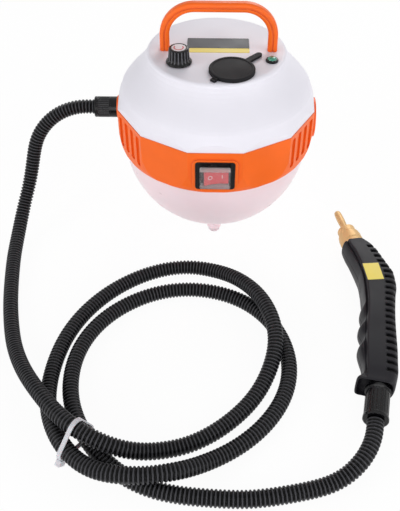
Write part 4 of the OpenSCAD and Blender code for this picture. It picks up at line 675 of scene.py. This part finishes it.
flange = lathe("band_flange", (FLANGE_X, GLAND_Y, GLAND_Z), START_DIR, [
    (11.6, 0), (14.6, 0), (14.6, 1.1), (14.3, 1.5), (13.9, 1.65), (13.1, 1.7), (12.7, 1.85), (12.5, 2.3),
    (12.5, 3.2), (12.3, 3.55), (11.9, 3.66), (11.5, 3.66),
], LOOKS["orange_shell"], count=96)

# Bare plate on the flat side of the gun: its middle, and a slight turn that also draws it in by a hundredth
PLATE_X, PLATE_Y = 167.8, -150.4
PLATE_COS, PLATE_SIN = 0.985, 0.09


def on_gun(x, y, z):
    """From plate coordinates to the flat of the upper half."""
    px = PLATE_X + x * PLATE_COS - y * PLATE_SIN
    py = PLATE_Y + x * PLATE_SIN + y * PLATE_COS
    return px, py, GUN_Z + float(half_at(np.array(py - GUN_Y))) + z


gun_rim = build_plate("gun_plate_rim", box=(-9.3, -13.4, 9.3, 13.4), corner=1.2, z=0, rows=[
    (0, -0.4), (0.05, 0.12), (0.3, 0.2), (1.0, 0.2)], look=PLATE_BLACK, to_world=on_gun)
gun_plate = build_plate("gun_plate", box=(-8.6, -12.7, 8.6, 12.7), corner=0.9, z=0, rows=[
    (0, 0), (0.04, 0.28), (0.2, 0.34), (0.9, 0.34)], look=PLATE_YELLOW, to_world=on_gun)

# Bare plate on the deck, dark with a yellow strip in front
deck_plate = build_plate("deck_plate", box=(-31, 0.7, 34, 22), corner=1.2, z=DECK_Z, rows=[
    (0, -0.1), (0, 0.25), (0.15, 0.4), (0.7, 0.4), (0.8, 0.3), (2.0, 0.3)], look=PLATE_BLACK)
deck_strip = build_plate("deck_strip", box=(-28.5, -8.4, 34, 0.5), corner=1.0, z=DECK_Z, rows=[
    (0, -0.1), (0, 0.2), (0.12, 0.32), (0.5, 0.32), (0.6, 0.26), (1.6, 0.26)], look=PLATE_YELLOW)

# Dial arc on the knob cap, and the O and I of the rocker: share of half the line's width, and height
LINE = [(1, 0), (0.8, 0.05), (-0.8, 0.05), (-1, 0)]
ARC_STEPS = 48
CAP_TOP = KNOB_FOOT + KNOB_H
# Rocker: tilt at rest, place of its axis, height of its face and how far it rises to its ends, and the ends
ROCKER_TILT = math.radians(10)
ROCKER_Y, ROCKER_Z = -102.576, 125.5
ROCKER_FACE = 6.2
FACE_RISE = 0.5
END_FROM, END_SLOPE = 6.2, 0.21


def band(name, centre, radius, width, start, stop, to_world, look, body):
    """Printed arc from one angle to another, in degrees."""
    points, turn = [], np.radians(np.linspace(start, stop, ARC_STEPS + 1))
    for share, h in LINE:
        r = radius + share * width / 2
        points += [to_world(centre[0] + r * math.cos(t), centre[1] + r * math.sin(t), h) for t in turn]
    return piece(name, np.array(points) * MM, skin(len(LINE), ARC_STEPS + 1, closed=False), look, body)


def on_cap(x, y, z):
    """From the middle of the cap to the frame."""
    return KNOB_X + x, KNOB_Y + y, CAP_TOP + z


def on_rocker(x, y, z):
    """From the face of the rocker, along, across and out of it, to the frame."""
    out = ROCKER_FACE + FACE_RISE * min(1, abs(x) / END_FROM) + max(0, abs(x) - END_FROM) * END_SLOPE + z
    along = x * math.cos(ROCKER_TILT) + out * math.sin(ROCKER_TILT)
    ahead = -x * math.sin(ROCKER_TILT) + out * math.cos(ROCKER_TILT)
    return along, ROCKER_Y - ahead, ROCKER_Z + y


dial = band("knob_dial", centre=(0, 0), radius=4.6, width=1.3, start=-215, stop=35, to_world=on_cap,
            look=PRINT_RED, body="knob")
mark_o = band("rocker_mark_o", centre=(-6.3, 0), radius=2.1, width=0.75, start=0, stop=360,
              to_world=on_rocker, look=PRINT_WHITE, body="rocker")
mark_i = build_plate("rocker_mark_i", box=(5.9, -2.1, 6.5, 2.1), corner=0.25, z=0, rows=[
    (0, 0), (0.06, 0.05), (0.2, 0.05)], look=PRINT_WHITE, to_world=on_rocker, body="rocker")

# Floor and sky: white where they are seen, and dimmer where they light the object
WHITE = (1, 1, 1, 1)
FLOOR_HALF = 4000 * MM
FLOOR_GREY = 0.9
FLOOR_ROUGH = 0.9
FLOOR_GLOW = 0.22
FLOOR_WHITE_SHARE = 0.93
SKY_STRENGTH = 0.345
# Lamps: name, place and aim in metres, size in metres, power in watts
LAMPS = [
    ("key", (-1.75, -0.9, 1.0), (0, -0.1, 0.1), 1.2, 12),
    ("fill", (1.8, -0.85, 0.85), (0, -0.1, 0.1), 1.4, 14),
    ("back", (0.5, 1.75, 1.3), (0, 0, 0.15), 1.2, 14),
    ("front", (-0.2, -1.9, 0.3), (0, 0, 0.1), 1.6, 13.5),
]


def seen_rays(tree):
    """One for what the camera, a reflection or a clear piece shows, and zero for light."""
    seen = tree.nodes.new("ShaderNodeLightPath")
    either = seen.outputs["Is Camera Ray"]
    for ray in ("Is Glossy Ray", "Is Transmission Ray"):
        most = tree.nodes.new("ShaderNodeMath")
        most.operation = "MAXIMUM"
        tree.links.new(either, most.inputs[0])
        tree.links.new(seen.outputs[ray], most.inputs[1])
        either = most.outputs[0]
    return either


def blend(tree, factor, lit, white, end):
    """White where the factor is one, and lit where it is zero."""
    mix = tree.nodes.new("ShaderNodeMixShader")
    tree.links.new(factor, mix.inputs["Fac"])
    tree.links.new(lit.outputs[0], mix.inputs[1])
    tree.links.new(white.outputs[0], mix.inputs[2])
    tree.links.new(mix.outputs[0], end.inputs["Surface"])


def add_floor():
    h = FLOOR_HALF
    mesh = bpy.data.meshes.new("floor")
    mesh.from_pydata([(-h, -h, 0), (h, -h, 0), (h, h, 0), (-h, h, 0)], [], [(0, 1, 2, 3)])
    made = bpy.data.materials.new("floor")
    made.use_nodes = True
    tree = made.node_tree
    shade = tree.nodes["Principled BSDF"]
    shade.inputs["Base Color"].default_value = (FLOOR_GREY, FLOOR_GREY, FLOOR_GREY, 1)
    shade.inputs["Roughness"].default_value = FLOOR_ROUGH
    shade.inputs["Emission Color"].default_value = WHITE
    shade.inputs["Emission Strength"].default_value = FLOOR_GLOW
    share = tree.nodes.new("ShaderNodeMath")
    share.operation = "MULTIPLY"
    share.inputs[1].default_value = FLOOR_WHITE_SHARE
    tree.links.new(seen_rays(tree), share.inputs[0])
    glow = tree.nodes.new("ShaderNodeEmission")
    blend(tree, share.outputs[0], shade, glow, tree.nodes["Material Output"])
    mesh.materials.append(made)
    floor = bpy.data.objects.new("floor", mesh)
    bpy.context.collection.objects.link(floor)


def add_light(name, place, aim, size, power):
    data = bpy.data.lights.new(name, "AREA")
    data.shape = "DISK"
    data.size = size
    data.energy = power
    lamp = bpy.data.objects.new(name, data)
    lamp.location = place
    lamp.rotation_euler = (Vector(aim) - Vector(place)).to_track_quat("-Z", "Y").to_euler()
    bpy.context.collection.objects.link(lamp)


def add_sky():
    world = bpy.data.worlds.new("world")
    bpy.context.scene.world = world
    world.use_nodes = True
    tree = world.node_tree
    sky = tree.nodes["Background"]
    sky.inputs["Color"].default_value = WHITE
    sky.inputs["Strength"].default_value = SKY_STRENGTH
    white = tree.nodes.new("ShaderNodeBackground")
    white.inputs["Color"].default_value = WHITE
    blend(tree, seen_rays(tree), sky, white, tree.nodes["World Output"])


add_floor()
for lamp in LAMPS:
    add_light(*lamp)
add_sky()
bpy.context.scene.view_settings.view_transform = "Standard"
